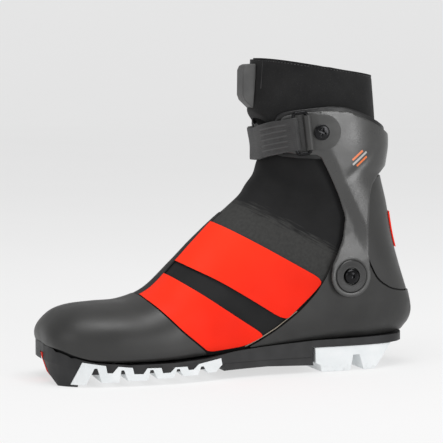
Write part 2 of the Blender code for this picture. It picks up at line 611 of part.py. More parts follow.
HEEL_TREAD_TOP = HEEL_SEAT - GAP
heel_side = [(to_x(x), z) for x, z in [
    (59.6, HEEL_TREAD_TOP), (60.4, 7.0), (64.0, 5.5), (65.0, 0.0), (90.0, 0.0), (92.4, 12.0), (97.6, 12.0),
    (101.5, 0.0), (112.0, 0.0), (127.0, HEEL_TREAD_TOP)]]
heel_tread = plan_prism("heel_tread", grow(plan_curve, -0.5), -2.0, 30.0, WHITE)
boolean(heel_tread, region("heel_tread_side", heel_side), 'INTERSECT')
ARCH_TOP = 12.0 - GAP
arch_bridge = plan_prism("arch_bridge", grow(plan_curve, -2.0), -2.0, 30.0, BLACK)
boolean(arch_bridge, region("arch_side", [(to_x(x), z) for x, z in [
    (-17.6, ARCH_TOP), (-17.6, 6.0), (20.0, 6.6), (58.8, 5.2), (57.8, ARCH_TOP)]]), 'INTERSECT')
boolean(arch_bridge, tread_pocket, 'DIFFERENCE')

# ---- cuff --------------------------------------------------------------------------------------
cuff_shell = cuff_skin.wall("cuff_shell", -CUFF_WALL, 0.0, CUFF_GREY)
boolean(cuff_shell, region("cuff", cuff_outline), 'INTERSECT')
liner_high = -CUFF_WALL - GAP
liner_low = liner_high - LINER_THICK
LINER_OUTLINE = side_points([
    (29.0, 197.0), (33.0, 202.4), (66.0, 206.2), (84.0, 205.2), (105.5, 197.2), (140.0, 179.5),
    (140.0, 167.0), (126.0, 164.5), (112.0, 162.0), (100.0, 161.0), (68.0, 165.2), (36.0, 166.8),
    (31.0, 169.0), (28.4, 178.0)])
cuff_liner = cuff_skin.wall("cuff_liner", liner_low, liner_high, BLACK)
boolean(cuff_liner, region("liner", LINER_OUTLINE), 'INTERSECT')
collar_room = body.solid("collar_room", FABRIC_OUT + GAP)
for piece in (cuff_shell, cuff_liner):
    boolean(piece, collar_room, 'DIFFERENCE')
rear_pad = cuff_skin.solid("rear_pad", liner_low - GAP, FOAM)
REAR_PAD_OUTLINE = side_points([(74.0, 164.0), (74.0, 200.0), (104.0, 194.0), (136.0, 179.0), (136.0, 164.0)])
boolean(rear_pad, region("rear_pad", REAR_PAD_OUTLINE), 'INTERSECT')
boolean(rear_pad, collar_room, 'DIFFERENCE')

# ---- cuff pivots ---------------------------------------------------------------------------------
arm_face = to_y(43.6)
arm_inner = arm_face - CUFF_WALL
washer_floor = arm_face - WASHER_THICK + 0.4
BUSHING_OUT = BOLT_SHANK_RADIUS + GAP + BUSHING_WALL
NUT_OUT = BOLT_SHANK_RADIUS + GAP + NUT_WALL
for side, label in ((-1, "lateral"), (1, "medial")):
    axis = (0, side, 0)
    centre = Vector((PIVOT[0], 0.0, PIVOT[1]))
    skin_point, _ = skin_hit(body, centre + Vector((0, side * 80.0, 0)), (0, -side, 0))
    skin_y = abs(skin_point.y)
    counter_face = skin_y + COUNTER_OUT
    fabric_inner = skin_y + fabric_in
    bore = turned("nut_bore_" + label, [(0, 0), (NUT_OUT + GAP, 0), (NUT_OUT + GAP, arm_inner - 0.1),
                                        (0, arm_inner - 0.1)], centre, axis, sides=20)
    for piece in (upper, heel_counter):
        boolean(piece, bore, 'DIFFERENCE')
    arm_bore = turned("arm_bore_" + label,
                      [(0, 0), (BUSHING_OUT + GAP, 0), (BUSHING_OUT + GAP, 80.0), (0, 80.0)],
                      centre, axis, sides=20)
    boolean(cuff_shell, arm_bore, 'DIFFERENCE')
    boolean(cuff_shell, turned("washer_seat_" + label, [
        (0, washer_floor - GAP), (WASHER_RADIUS + GAP, washer_floor - GAP), (WASHER_RADIUS + GAP, 80.0),
        (0, 80.0)], centre, axis), 'DIFFERENCE')
    nut_foot = fabric_inner - GAP - NUT_WALL - 0.4
    turned("pivot_nut_" + label, [
        (BOLT_SHANK_RADIUS + GAP, nut_foot), (NUT_FLANGE_RADIUS, nut_foot),
        (NUT_FLANGE_RADIUS, fabric_inner - GAP - 0.4), (NUT_OUT, fabric_inner - GAP - 0.4),
        (NUT_OUT, counter_face), (BOLT_SHANK_RADIUS + GAP, counter_face),
        (BOLT_SHANK_RADIUS + GAP, nut_foot)], centre, axis, STEEL, sides=20)
    bushing_in, bushing_top = counter_face + GAP, washer_floor - 2 * GAP
    turned("pivot_bushing_" + label, [
        (BOLT_SHANK_RADIUS + GAP, bushing_in), (BUSHING_OUT, bushing_in), (BUSHING_OUT, bushing_top),
        (BOLT_SHANK_RADIUS + GAP, bushing_top), (BOLT_SHANK_RADIUS + GAP, bushing_in)], centre, axis,
        STEEL, sides=20)
    washer_top = washer_floor + WASHER_THICK
    turned("pivot_washer_" + label, [
        (BOLT_HEAD_RADIUS + 0.8, washer_floor), (WASHER_RADIUS, washer_floor),
        (WASHER_RADIUS, washer_top - 0.4), (WASHER_RADIUS - 0.5, washer_top),
        (BOLT_HEAD_RADIUS + 1.4, washer_top), (BOLT_HEAD_RADIUS + 0.8, washer_top - 0.4),
        (BOLT_HEAD_RADIUS + 0.8, washer_floor)], centre, axis, CUFF_GREY)
    dome = [(BOLT_HEAD_RADIUS * math.cos(a), washer_floor + 0.8 + BOLT_HEAD_DOME * math.sin(a))
            for a in (0.0, 0.35, 0.7, 1.05)]
    turned("pivot_bolt_" + label, [
        (0, nut_foot + 0.5), (BOLT_SHANK_RADIUS, nut_foot + 0.5), (BOLT_SHANK_RADIUS, washer_floor - GAP / 2),
        (BOLT_HEAD_RADIUS, washer_floor - GAP / 2)] + dome + [
        (SOCKET_RADIUS, washer_floor + 0.8 + BOLT_HEAD_DOME * 0.97), (SOCKET_RADIUS, washer_floor + 1.2),
        (0, washer_floor + 1.2)], centre, axis, DARK_METAL)

# ---- strap, its ring and its anchor --------------------------------------------------------------
RING_REAR_X, RING_Z = 49.6, 186.5
STRAP_FRONT_Z, STRAP_MEDIAL_Z = 176.8, 176.0
STRAP_TILT = math.radians(7.0)


def cuff_point(angle, height, offset):
    """A point on the cuff's face; the angle is 0 medially, 90 degrees in front, 180 laterally."""
    levels = np.array(rounded(CUFF_LEVELS, steps=CUFF_STEPS, closed=False))
    values = [np.interp(height, levels[:, 0], levels[:, k]) for k in range(1, 5)]
    front, rear, half_width, power = values
    middle, reach = (front + rear) / 2, (rear - front) / 2

    def plan(a):
        across, along = half_oval(a, power)
        side = 1.0 if math.cos(a) > 0 else -1.0
        return Vector((to_x(middle - along * reach), to_y(side * across * half_width), 0.0))

    here = plan(angle)
    tangent = (plan(angle + 0.01) - plan(angle - 0.01)).normalized()
    outward = Vector((tangent.y, -tangent.x, 0.0))
    if outward.dot(here - Vector((to_x(middle), 0.0, 0.0))) < 0:
        outward = -outward
    return here + outward * offset + Vector((0, 0, to_z(height))), outward, tangent


def angle_at_x(x, height):
    """The lateral side's angle where the cuff's face reaches a given x."""
    low, high = math.pi / 2, math.pi
    for _ in range(40):
        middle = (low + high) / 2
        if cuff_point(middle, height, 0.0)[0].x < to_x(x):
            low = middle
        else:
            high = middle
    return (low + high) / 2


ring_angle = angle_at_x(RING_REAR_X, RING_Z)
ring_base, ring_out, ring_tangent = cuff_point(ring_angle, RING_Z, 0.0)
forward = ring_tangent if ring_tangent.x < 0 else -ring_tangent
bar_axis = (Vector((0, 0, 1)) * math.cos(STRAP_TILT) + forward * math.sin(STRAP_TILT)).normalized()
ring_forward = bar_axis.cross(ring_out).normalized()
if ring_forward.x > 0:
    ring_forward = -ring_forward
ANCHOR_ROLL = RING_WIRE + GAP + 1.5
rear_bar = ring_base + ring_out * (ANCHOR_ROLL + GAP)
FRONT_LIFT = 0.6
front_bar = rear_bar + ring_forward * RING_SPACING - ring_out * FRONT_LIFT
RING_HALF = STRAP_WIDTH / 2 + 2.6


def tube(name, points, radius, look, cyclic=False, resolution=2):
    """A round wire along points, as a mesh."""
    curve = bpy.data.curves.new(name, 'CURVE')
    curve.dimensions = '3D'
    curve.bevel_depth = radius * MM
    curve.bevel_resolution = resolution
    curve.use_fill_caps = not cyclic
    spline = curve.splines.new('POLY')
    spline.points.add(len(points) - 1)
    for target, point in zip(spline.points, points):
        target.co = (point[0] * MM, point[1] * MM, point[2] * MM, 1.0)
    spline.use_cyclic_u = cyclic
    source = bpy.data.objects.new(name + "_curve", curve)
    bpy.context.scene.collection.objects.link(source)
    bpy.context.view_layer.update()
    graph = bpy.context.evaluated_depsgraph_get()
    made = bpy.data.meshes.new_from_object(source.evaluated_get(graph))
    bpy.data.objects.remove(source, do_unlink=True)
    bm = bmesh.new()
    bm.from_mesh(made)
    bmesh.ops.remove_doubles(bm, verts=bm.verts[:], dist=1e-6)
    bmesh.ops.recalc_face_normals(bm, faces=bm.faces[:])
    bm.to_mesh(made)
    bm.free()
    made.materials.clear()
    return finish(name, made, look)


corner = 2.5                # the wire is straight across the whole strap
ring_path = []
for at, away, up in ((rear_bar, 1, -1), (rear_bar, 1, 1), (front_bar, -1, 1), (front_bar, -1, -1)):
    inward = (front_bar - rear_bar).normalized() * away
    tip = at + bar_axis * up * RING_HALF
    bent = tip + (inward - bar_axis * up) * corner * 0.29
    before = (at + bar_axis * up * (RING_HALF - corner), bent, tip + inward * corner)
    ring_path += before if (away == 1) == (up == 1) else before[::-1]
tube("strap_ring", ring_path, RING_WIRE, DARK_METAL, cyclic=True)

# The anchor: a plate on the cuff, rolled round the ring's rear bar and held by one screw.
SCREW_X = 59.4
screw_base, screw_out, _ = cuff_point(angle_at_x(SCREW_X, RING_Z), RING_Z, 0.0)
ANCHOR_HALF = STRAP_WIDTH / 2 + 0.6
plate_end = screw_base.x + 2.0
ANCHOR_LIFT = 0.6
anchor = cuff_skin.wall("strap_anchor", ANCHOR_LIFT, ANCHOR_LIFT + ANCHOR_THICK, CHARCOAL)
tilt = math.tan(STRAP_TILT)
centre_z = to_z(RING_Z)
plate_outline = [(rear_bar.x - ANCHOR_HALF * tilt - 0.6, centre_z + ANCHOR_HALF)]
plate_outline += arc((plate_end, centre_z), ANCHOR_HALF, 78.0, -78.0, 10)
plate_outline += [(rear_bar.x + ANCHOR_HALF * tilt - 0.6, centre_z - ANCHOR_HALF)]
boolean(anchor, region("anchor", plate_outline, -80.0, 0.0), 'INTERSECT')
boolean(anchor, turned("anchor_roll", [(0, -ANCHOR_HALF + 0.4), (ANCHOR_ROLL, -ANCHOR_HALF + 0.4),
                                       (ANCHOR_ROLL, ANCHOR_HALF - 0.4), (0, ANCHOR_HALF - 0.4)],
                       rear_bar, bar_axis, sides=20), 'UNION')
EYE_RADIUS = RING_WIRE + GAP
anchor_eye = turned("anchor_eye", [(0, -40.0), (EYE_RADIUS, -40.0), (EYE_RADIUS, 40.0), (0, 40.0)], rear_bar,
                    bar_axis, sides=20)
boolean(anchor, anchor_eye, 'DIFFERENCE')
screw_bore = turned("anchor_screw_bore", [(0, -8.0), (2.0 + GAP, -8.0), (2.0 + GAP, 8.0), (0, 8.0)],
                    screw_base, screw_out, sides=20)
for piece in (anchor, cuff_shell):
    boolean(piece, screw_bore, 'DIFFERENCE')
SCREW_CLEARANCE = 0.6       # the plate follows the cuff's curve, the screw's head is flat
plate_face = ANCHOR_LIFT + ANCHOR_THICK + SCREW_CLEARANCE
screw_dome = [(ANCHOR_SCREW_RADIUS * math.cos(a), plate_face + 0.5 + ANCHOR_SCREW_DOME * math.sin(a))
              for a in (0.0, 0.5, 1.0, 1.35)]
turned("anchor_screw", [(0, -CUFF_WALL + 0.3), (2.0, -CUFF_WALL + 0.3), (2.0, plate_face),
                                       (ANCHOR_SCREW_RADIUS, plate_face)] + screw_dome + [
    (0, plate_face + 0.5 + ANCHOR_SCREW_DOME)], screw_base, screw_out, DARK_METAL, sides=24)

# The strap: fixed inside under a rivet, round the front, then its tail back over it from the ring.
front_angle = math.pi / 2
RIVET_ANGLE = math.radians(38.0)
strap_end_angle = angle_at_x(RING_REAR_X - RING_SPACING - 7.5, RING_Z)
tail_start_angle = angle_at_x(RING_REAR_X - RING_SPACING - 0.2, RING_Z)
TAIL_END_ANGLE = math.radians(72.0)


def strap_height(angle):
    if angle <= front_angle:
        share = (front_angle - angle) / (front_angle - RIVET_ANGLE)
        return STRAP_FRONT_Z + (STRAP_MEDIAL_Z - STRAP_FRONT_Z) * share
    share = (angle - front_angle) / (ring_angle - front_angle)
    return STRAP_FRONT_Z + (RING_Z - STRAP_FRONT_Z) * share


def strap_band(name, start, end, low, high, look, steps=12, root=None, width=STRAP_WIDTH):
    """Webbing lying on the cuff's face between two angles; a root carries it on to the ring."""
    sections = []
    for k in range(steps + 1):
        angle = start + (end - start) * k / steps
        height = strap_height(angle)
        lean = math.sin(STRAP_TILT) * max(0.0, math.sin(angle - front_angle))
        edge = []
        for share in (-1.0, 0.0, 1.0):
            rise = share * width / 2
            under, _, tangent = cuff_point(angle, height + rise * math.cos(STRAP_TILT), low)
            over, _, _ = cuff_point(angle, height + rise * math.cos(STRAP_TILT), high)
            forward_by = (tangent if tangent.x < 0 else -tangent) * rise * lean
            edge.append((under + forward_by, over + forward_by))
        sections.append([under for under, _ in edge] + [over for _, over in reversed(edge)])
    if root:
        sections = root + sections
    bm = bmesh.new()
    rows = [[bm.verts.new(point) for point in section] for section in sections]
    for near, far in zip(rows, rows[1:]):
        join_rings(bm, near, far)
    bm.faces.new(rows[0])
    bm.faces.new(rows[-1])
    return finish(name, mesh_from(bm, name), look)


STRAP_LOW = 0.7             # the webbing's clearance over the cuff
strap = strap_band("strap", RIVET_ANGLE - 0.22, strap_end_angle, STRAP_LOW, STRAP_LOW + STRAP_THICK, BLACK,
                   24)
tail_low = STRAP_LOW + STRAP_THICK + GAP
TAIL_WIDTH = STRAP_WIDTH - 1.0
U_IN = RING_WIRE + GAP
U_OUT = U_IN + STRAP_THICK
root = []
for k in range(7):
    a = math.pi * k / 6
    towards = (-ring_out * math.cos(a) - ring_forward * math.sin(a)).normalized()
    lift = 0.35 if k == 6 else 0.0      # the tail leaves the wire a little proud of it
    inner_point, outer_point = front_bar + towards * (U_IN + lift), front_bar + towards * (U_OUT + lift)
    half = bar_axis * TAIL_WIDTH / 2
    root.append([inner_point - half, inner_point, inner_point + half,
                 outer_point + half, outer_point, outer_point - half])
strap_tail = strap_band("strap_tail", angle_at_x(RING_REAR_X - RING_SPACING - 9.0, RING_Z), TAIL_END_ANGLE,
                        tail_low, tail_low + STRAP_THICK, BLACK, 20, root, TAIL_WIDTH)
rivet_base, rivet_out, _ = cuff_point(RIVET_ANGLE - 0.08, strap_height(RIVET_ANGLE), 0.0)
rivet_face = STRAP_LOW + STRAP_THICK + GAP + 0.15
rivet_bore = turned("rivet_bore", [(0, -10.0), (2.0 + GAP, -10.0), (2.0 + GAP, 10.0), (0, 10.0)], rivet_base,
                    rivet_out, sides=16)
for piece in (strap, cuff_shell):
    boolean(piece, rivet_bore, 'DIFFERENCE')
turned("strap_rivet", [(0, -CUFF_WALL + 0.2), (2.0, -CUFF_WALL + 0.2), (2.0, rivet_face), (5.0, rivet_face),
                       (5.0, rivet_face + 0.5), (3.4, rivet_face + 1.4), (0, rivet_face + 1.7)], rivet_base,
       rivet_out, DARK_METAL, sides=20)

# ---- grab tab on the collar ----------------------------------------------------------------------
TAB_HALF = 7.0
tab_outline = side_points([(20.0, 203.0), (17.0, 204.5), (10.5, 210.5), (9.0, 214.5), (9.2, 233.5),
                           (10.8, 236.8), (13.5, 238.0), (20.0, 238.4)])
collar_tab = prism("collar_tab", tab_outline, -TAB_HALF, TAB_HALF, CHARCOAL)
boolean(collar_tab, body.solid("tab_room", FABRIC_OUT + GAP), 'DIFFERENCE')

# ---- zip beside the instep cover -------------------------------------------------------------------
zip_down = Vector((to_x(-52.0), 0.0, to_z(80.0)))
zip_top = Vector((to_x(-6.0), 0.0, to_z(124.0)))
zip_line = (zip_top - zip_down).normalized()
zip_normal = Vector((-zip_line.z, 0.0, zip_line.x))
ends = []
for at in (zip_down, (zip_down + zip_top) / 2, zip_top):
    hit, hit_normal = skin_hit(body, at + zip_normal * 60.0 + Vector((0, ZIP_Y, 0)), -zip_normal)
    ends.append((hit, hit_normal))
zip_out = sum((n for _, n in ends), Vector())
zip_out = (zip_out - zip_line * zip_out.dot(zip_line)).normalized()
zip_side = zip_out.cross(zip_line)
lift = max((hit - ends[1][0]).dot(zip_out) for hit, _ in ends)
zip_middle = ends[1][0] + zip_out * max(lift, 0.0)


def along_zip(name, start, end, half_width, low, high, look, bevel=0.0):
    """A block along the zip, between two heights over its tape."""
    bm = bmesh.new()
    bmesh.ops.create_cube(bm, size=1.0)
    for vert in bm.verts:
        vert.co = (start if vert.co.x < 0 else end, half_width * (1 if vert.co.y > 0 else -1),
                   low if vert.co.z < 0 else high)
    if bevel:
        bmesh.ops.bevel(bm, geom=bm.edges[:], offset=bevel, segments=2, profile=0.5, affect='EDGES',
                        material=-1)
    frame = Matrix((zip_line, zip_side, zip_out)).transposed().to_4x4()
    bmesh.ops.transform(bm, matrix=Matrix.Translation(zip_middle) @ frame, verts=bm.verts[:])
    return finish(name, mesh_from(bm, name), look)


ZIP_FOOT = 0.2
zip_chain = along_zip("zip_chain", -ZIP_LENGTH / 2, ZIP_LENGTH / 2, ZIP_WIDTH / 2, ZIP_FOOT - 2.5,
                      ZIP_FOOT + ZIP_THICK, BLACK, 0.3)
boolean(zip_chain, body.solid("zip_bed", FABRIC_OUT + GAP), 'DIFFERENCE')
slider_top = ZIP_LENGTH / 2 - 1.0
slider_low = ZIP_FOOT + ZIP_THICK + GAP
along_zip("zip_slider", slider_top - SLIDER_LENGTH, slider_top, SLIDER_WIDTH / 2, slider_low,
          slider_low + SLIDER_THICK, DARK_METAL, 0.5)
puller_low = slider_low + SLIDER_THICK + GAP
puller_top = slider_top - 2.0
along_zip("zip_puller", puller_top - PULLER_LENGTH, puller_top, PULLER_WIDTH / 2, puller_low,
          puller_low + PULLER_THICK, CHARCOAL, 0.5)

# ---- joint axes ------------------------------------------------------------------------------------
def on_axis(name, point, pieces, parent=None):
    """Pieces that move together hang on an empty that stands on their joint's axis."""
    empty = bpy.data.objects.new(name, None)
    empty.empty_display_size = 5.0 * MM
    boot_parts.objects.link(empty)
    empty.location = Vector(point) * MM
    if parent:
        empty.parent = parent
        empty.matrix_parent_inverse = Matrix.Translation(-parent_points[parent.name] * MM)
    parent_points[name] = Vector(point)
    for piece in pieces:
        bpy.data.objects[piece].parent = empty
        bpy.data.objects[piece].matrix_parent_inverse = Matrix.Translation(-Vector(point) * MM)
    return empty


parent_points = {}
cuff_axis = on_axis("cuff_axis", (PIVOT[0], 0.0, PIVOT[1]), [
    "cuff_shell", "cuff_liner", "rear_pad", "collar", "collar_tab", "pivot_washer_lateral",
    "pivot_washer_medial", "pivot_bushing_lateral", "pivot_bushing_medial", "strap", "strap_anchor",
    "anchor_screw", "strap_rivet"])
ring_axis = on_axis("ring_axis", rear_bar, ["strap_ring"], cuff_axis)
on_axis("tail_axis", front_bar, ["strap_tail"], ring_axis)
slider_point = zip_middle + zip_line * (slider_top - SLIDER_LENGTH / 2) + zip_out * slider_low
slider_axis = on_axis("slider_axis", slider_point, ["zip_slider"])
puller_point = zip_middle + zip_line * (puller_top - PULLER_EYE) + zip_out * (puller_low + PULLER_THICK / 2)
on_axis("puller_axis", puller_point, ["zip_puller"], slider_axis)
bpy.context.view_layer.update()
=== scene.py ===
"""Looks of a cross country skating boot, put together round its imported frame."""
import json
import math

import bmesh
import bpy
import numpy as np
from mathutils import Matrix, Vector
from mathutils.bvhtree import BVHTree


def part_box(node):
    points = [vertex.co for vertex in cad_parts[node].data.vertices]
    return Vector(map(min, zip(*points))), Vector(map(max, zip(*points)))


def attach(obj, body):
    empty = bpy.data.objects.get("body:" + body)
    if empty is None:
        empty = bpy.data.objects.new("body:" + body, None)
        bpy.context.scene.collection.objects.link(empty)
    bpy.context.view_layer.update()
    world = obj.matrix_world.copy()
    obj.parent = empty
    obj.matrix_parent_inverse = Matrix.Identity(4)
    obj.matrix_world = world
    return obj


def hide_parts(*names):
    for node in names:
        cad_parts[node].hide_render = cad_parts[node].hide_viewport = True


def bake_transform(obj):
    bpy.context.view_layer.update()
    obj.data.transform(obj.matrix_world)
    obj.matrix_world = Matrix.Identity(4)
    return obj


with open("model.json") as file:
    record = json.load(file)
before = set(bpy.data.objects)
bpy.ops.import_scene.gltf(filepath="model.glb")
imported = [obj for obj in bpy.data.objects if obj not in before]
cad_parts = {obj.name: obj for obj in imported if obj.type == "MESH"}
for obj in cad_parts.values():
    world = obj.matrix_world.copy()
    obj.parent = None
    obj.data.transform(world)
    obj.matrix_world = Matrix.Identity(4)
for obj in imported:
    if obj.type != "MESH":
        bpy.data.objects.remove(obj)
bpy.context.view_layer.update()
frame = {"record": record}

# ---- Studio ----
# A pale cove: a flat floor that curves up into a low wall all round, under soft boxes.
# The long lens stands 1.5 m off the outer side, a little ahead of the boot.
AIM = Vector((-0.006, 0.0, 0.1165))
AZIMUTH, ELEVATION = math.radians(-19.5), math.radians(5.0)
away = Vector((math.sin(AZIMUTH) * math.cos(ELEVATION), -math.cos(AZIMUTH) * math.cos(ELEVATION),
               math.sin(ELEVATION)))
camera = bpy.data.objects.new("camera", bpy.data.cameras.new("camera"))
bpy.context.scene.collection.objects.link(camera)
camera.data.lens, camera.data.sensor_width = 157.2, 36.0
camera.data.clip_start, camera.data.clip_end = 0.05, 60.0
camera.location = AIM + away * 1.5
camera.rotation_mode = 'QUATERNION'
camera.rotation_quaternion = (-away).to_track_quat('-Z', 'Y')
bpy.context.scene.camera = camera
bpy.context.scene.view_settings.view_transform = 'Standard'


def material(name, colour, roughness, **sockets):
    """A Principled material. Sockets are named with _ for a space."""
    made = bpy.data.materials.new(name)
    made.use_nodes = True
    shader = made.node_tree.nodes["Principled BSDF"]
    shader.inputs["Base Color"].default_value = (*colour, 1.0)
    shader.inputs["Roughness"].default_value = roughness
    for socket, value in sockets.items():
        shader.inputs[socket.replace("_", " ")].default_value = value
    return made


def node(made, kind, settings=None, **inputs):
    """A shader node. Inputs are named, or i0, i1 by place; a socket given as a value is linked."""
    new = made.node_tree.nodes.new("ShaderNode" + kind)
    for key, value in (settings or {}).items():
        setattr(new, key, value)
    for key, value in inputs.items():
        socket = new.inputs[int(key[1:])] if key[1:].isdigit() else new.inputs[key.replace("_", " ")]
        if isinstance(value, bpy.types.NodeSocket):
            made.node_tree.links.new(value, socket)
        else:
            socket.default_value = value
    return new


def shader_of(made):
    return made.node_tree.nodes["Principled BSDF"]


def place(made, stretch=(1.0, 1.0, 1.0), turn=(0.0, 0.0, 0.0), spot=(0.0, 0.0, 0.0)):
    """Coordinates on the piece, with a pattern's own stretch and turn."""
    coords = node(made, "TexCoord").outputs["Object"]
    return node(made, "Mapping", {"vector_type": 'TEXTURE'}, Vector=coords, Location=spot, Rotation=turn,
                Scale=stretch).outputs["Vector"]


def noise(made, scale, detail=3.0, stretch=(1.0, 1.0, 1.0), turn=(0.0, 0.0, 0.0)):
    return node(made, "TexNoise", Vector=place(made, stretch, turn), Scale=scale, Detail=detail).outputs[0]


def ranged(made, value, low, high, to_low=0.0, to_high=1.0, soft=False):
    kind = {"interpolation_type": 'SMOOTHSTEP'} if soft else {}
    return node(made, "MapRange", kind, i0=value, i1=low, i2=high, i3=to_low, i4=to_high).outputs[0]


def sums(made, operation, one, other=0.0):
    return node(made, "Math", {"operation": operation}, i0=one, i1=other).outputs[0]


def times(made, one, other):
    return sums(made, 'MULTIPLY', one, other)


def colour_of(made):
    links = shader_of(made).inputs["Base Color"].links
    return links[0].from_socket if links else tuple(shader_of(made).inputs["Base Color"].default_value)


def paint(made, share, colour):
    """Lays a colour over the material where share is 1."""
    mixed = node(made, "Mix", {"data_type": 'RGBA'}, i0=share, i6=colour_of(made), i7=(*colour, 1.0))
    made.node_tree.links.new(mixed.outputs[2], shader_of(made).inputs["Base Color"])


def mottle(made, scale, colour, detail=3.0, low=0.35, high=0.65):
    """Lays a colour over the material in soft patches."""
    paint(made, ranged(made, noise(made, scale, detail), low, high), colour)


def emboss(made, height, distance, strength=1.0):
    """Bump in metres, on top of any bump that is already there."""
    normal = shader_of(made).inputs["Normal"]
    bump = node(made, "Bump", Height=height, Distance=distance, Strength=strength)
    if normal.links:
        made.node_tree.links.new(normal.links[0].from_socket, bump.inputs["Normal"])
    made.node_tree.links.new(bump.outputs[0], normal)


def worn(made, low, high, scale):
    """Roughness that varies softly over the piece."""
    made.node_tree.links.new(ranged(made, noise(made, scale), 0.3, 0.7, low, high),
                             shader_of(made).inputs["Roughness"])


def piece_from(name, bm, looks, body=None, smooth=35.0, stands_for=()):
    """A finished piece: its mesh, materials, the body it rides on and the nodes it stands for."""
    data = bpy.data.meshes.new(name)
    bm.to_mesh(data)
    bm.free()
    for look in looks:
        data.materials.append(look)
    data.shade_smooth()
    data.set_sharp_from_angle(angle=math.radians(smooth))
    obj = bpy.data.objects.new(name, data)
    bpy.context.scene.collection.objects.link(obj)
    if body:
        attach(obj, body)
    if stands_for:
        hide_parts(*stands_for)
    return obj


def spun(points, steps):
    """A bmesh turned about the z axis from (radius, height) points in metres."""
    bm = bmesh.new()
    verts = [bm.verts.new((radius, 0.0, height)) for radius, height in points]
    edges = [bm.edges.new(pair) for pair in zip(verts, verts[1:])]
    bmesh.ops.spin(bm, geom=verts + edges, axis=(0, 0, 1), cent=(0, 0, 0), angle=2 * math.pi, steps=steps,
                   use_merge=True)
    bmesh.ops.remove_doubles(bm, verts=bm.verts[:], dist=1e-6)
    bmesh.ops.recalc_face_normals(bm, faces=bm.faces[:])
    return bm


cove_paint = material("cove_paint", (0.26, 0.26, 0.261), 0.9, Specular_IOR_Level=0.0,
                      Emission_Color=(1.0, 1.0, 1.0, 1.0), Emission_Strength=0.64)
mottle(cove_paint, 2.0, (0.27, 0.27, 0.271), low=0.3, high=0.7)
FLOOR_RADIUS, CURVE = 5.0, 1.2
profile = [(0.0, 0.0), (2.0, 0.0), (FLOOR_RADIUS, 0.0)]
profile += [(FLOOR_RADIUS + CURVE * math.sin(t), CURVE - CURVE * math.cos(t))
            for t in np.linspace(0.1, math.pi / 2, 12)]
bm = spun(profile, 96)
bmesh.ops.translate(bm, verts=bm.verts[:], vec=(0, 0, -0.0003))
cove = piece_from("cove", bm, [cove_paint], smooth=180.0)


def soft_box(name, spot, aim, width, depth, power):
    lamp = bpy.data.lights.new(name, 'AREA')
    lamp.shape, lamp.size, lamp.size_y, lamp.energy = 'RECTANGLE', width, depth, power
    held = bpy.data.objects.new(name, lamp)
    bpy.context.scene.collection.objects.link(held)
    held.location = spot
    held.rotation_mode = 'QUATERNION'
    held.rotation_quaternion = (Vector(aim) - Vector(spot)).to_track_quat('-Z', 'Y')


soft_box("overhead_box", (0.0, -0.35, 1.6), (0.0, 0.0, 0.1), 1.3, 0.8, 17.0)
soft_box("cuff_strip", (0.85, -1.75, 0.46), (0.05, 0.0, 0.17), 0.45, 0.85, 11.0)
soft_box("toe_fill", (-1.7, -0.8, 0.9), (-0.05, 0.0, 0.08), 0.8, 0.8, 5.0)
world = bpy.data.worlds.new("room")
bpy.context.scene.world = world
world.use_nodes = True
room_light = world.node_tree.nodes["Background"].inputs
room_light[0].default_value, room_light[1].default_value = (1.0, 1.0, 1.0, 1.0), 0.42

# ---- Sole: chassis, shank and treads ----
# The chassis is one moulding of black nylon, bonded under the upper's edge, with a shank under the arch.
# Pale rubber is moulded round its forefoot as lugs with a stepped band, and as one block under the heel.
MM = 0.001


def eased(obj, width, segments=2, angle=40.0):
    """Takes the sharpness off a moulding's edges."""
    rim = obj.modifiers.new("rim", 'BEVEL')
    rim.width, rim.segments, rim.limit_method = width * MM, segments, 'ANGLE'
    rim.angle_limit = math.radians(angle)
    return obj


def node_mesh(name):
    """A merged copy of a CAD node's mesh."""
    bm = bmesh.new()
    bm.from_mesh(bpy.data.objects[name].data)
    bmesh.ops.remove_doubles(bm, verts=bm.verts[:], dist=2e-6)
    bmesh.ops.dissolve_limit(bm, angle_limit=math.radians(1.0), verts=bm.verts[:], edges=bm.edges[:])
    return bm


def moulded(name, of_node, look, body, width=0.0, smooth=35.0, segments=2):
    """The CAD node's own shape as a finished moulding."""
    obj = piece_from(name, node_mesh(of_node), [look], body, smooth, (of_node,))
    return eased(obj, width, segments) if width else obj


def rubber(name, colour, lighter, roughness):
    """Moulded rubber or nylon: fine grain from the tool, softly uneven sheen."""
    made = material(name, colour, roughness, Specular_IOR_Level=0.35)
    mottle(made, 60.0, lighter)
    worn(made, roughness - 0.08, roughness + 0.08, 90.0)
    emboss(made, noise(made, 1500.0, 2.0), 0.00006, 0.6)
    return made


nylon = rubber("black_nylon", (0.013, 0.013, 0.0135), (0.022, 0.022, 0.023), 0.5)
moulded("chassis_moulding", "sole_chassis", nylon, "boot", 0.35, 32.0)
shank_nylon = rubber("shank_nylon", (0.02, 0.02, 0.021), (0.03, 0.03, 0.031), 0.55)
moulded("arch_shank", "arch_bridge", shank_nylon, "boot", 0.5, 32.0)
pale_rubber = rubber("pale_rubber", (0.73, 0.76, 0.77), (0.80, 0.82, 0.83), 0.55)
low_down = node(pale_rubber, "SeparateXYZ", Vector=place(pale_rubber)).outputs["Z"]
# The pale rubber is painted darker in patches towards its bottom, within 6 mm of the ground.
darker_low_patches = times(pale_rubber, ranged(pale_rubber, low_down, 0.006, 0.0, 0.0, 0.5),
               ranged(pale_rubber, noise(pale_rubber, 350.0, 5.0), 0.5, 0.75))
paint(pale_rubber, darker_low_patches, (0.42, 0.42, 0.41))
moulded("forefoot_lugs", "forefoot_tread", pale_rubber, "boot", 0.45, 40.0)
moulded("heel_lug", "heel_tread", pale_rubber, "boot", 0.5, 40.0)

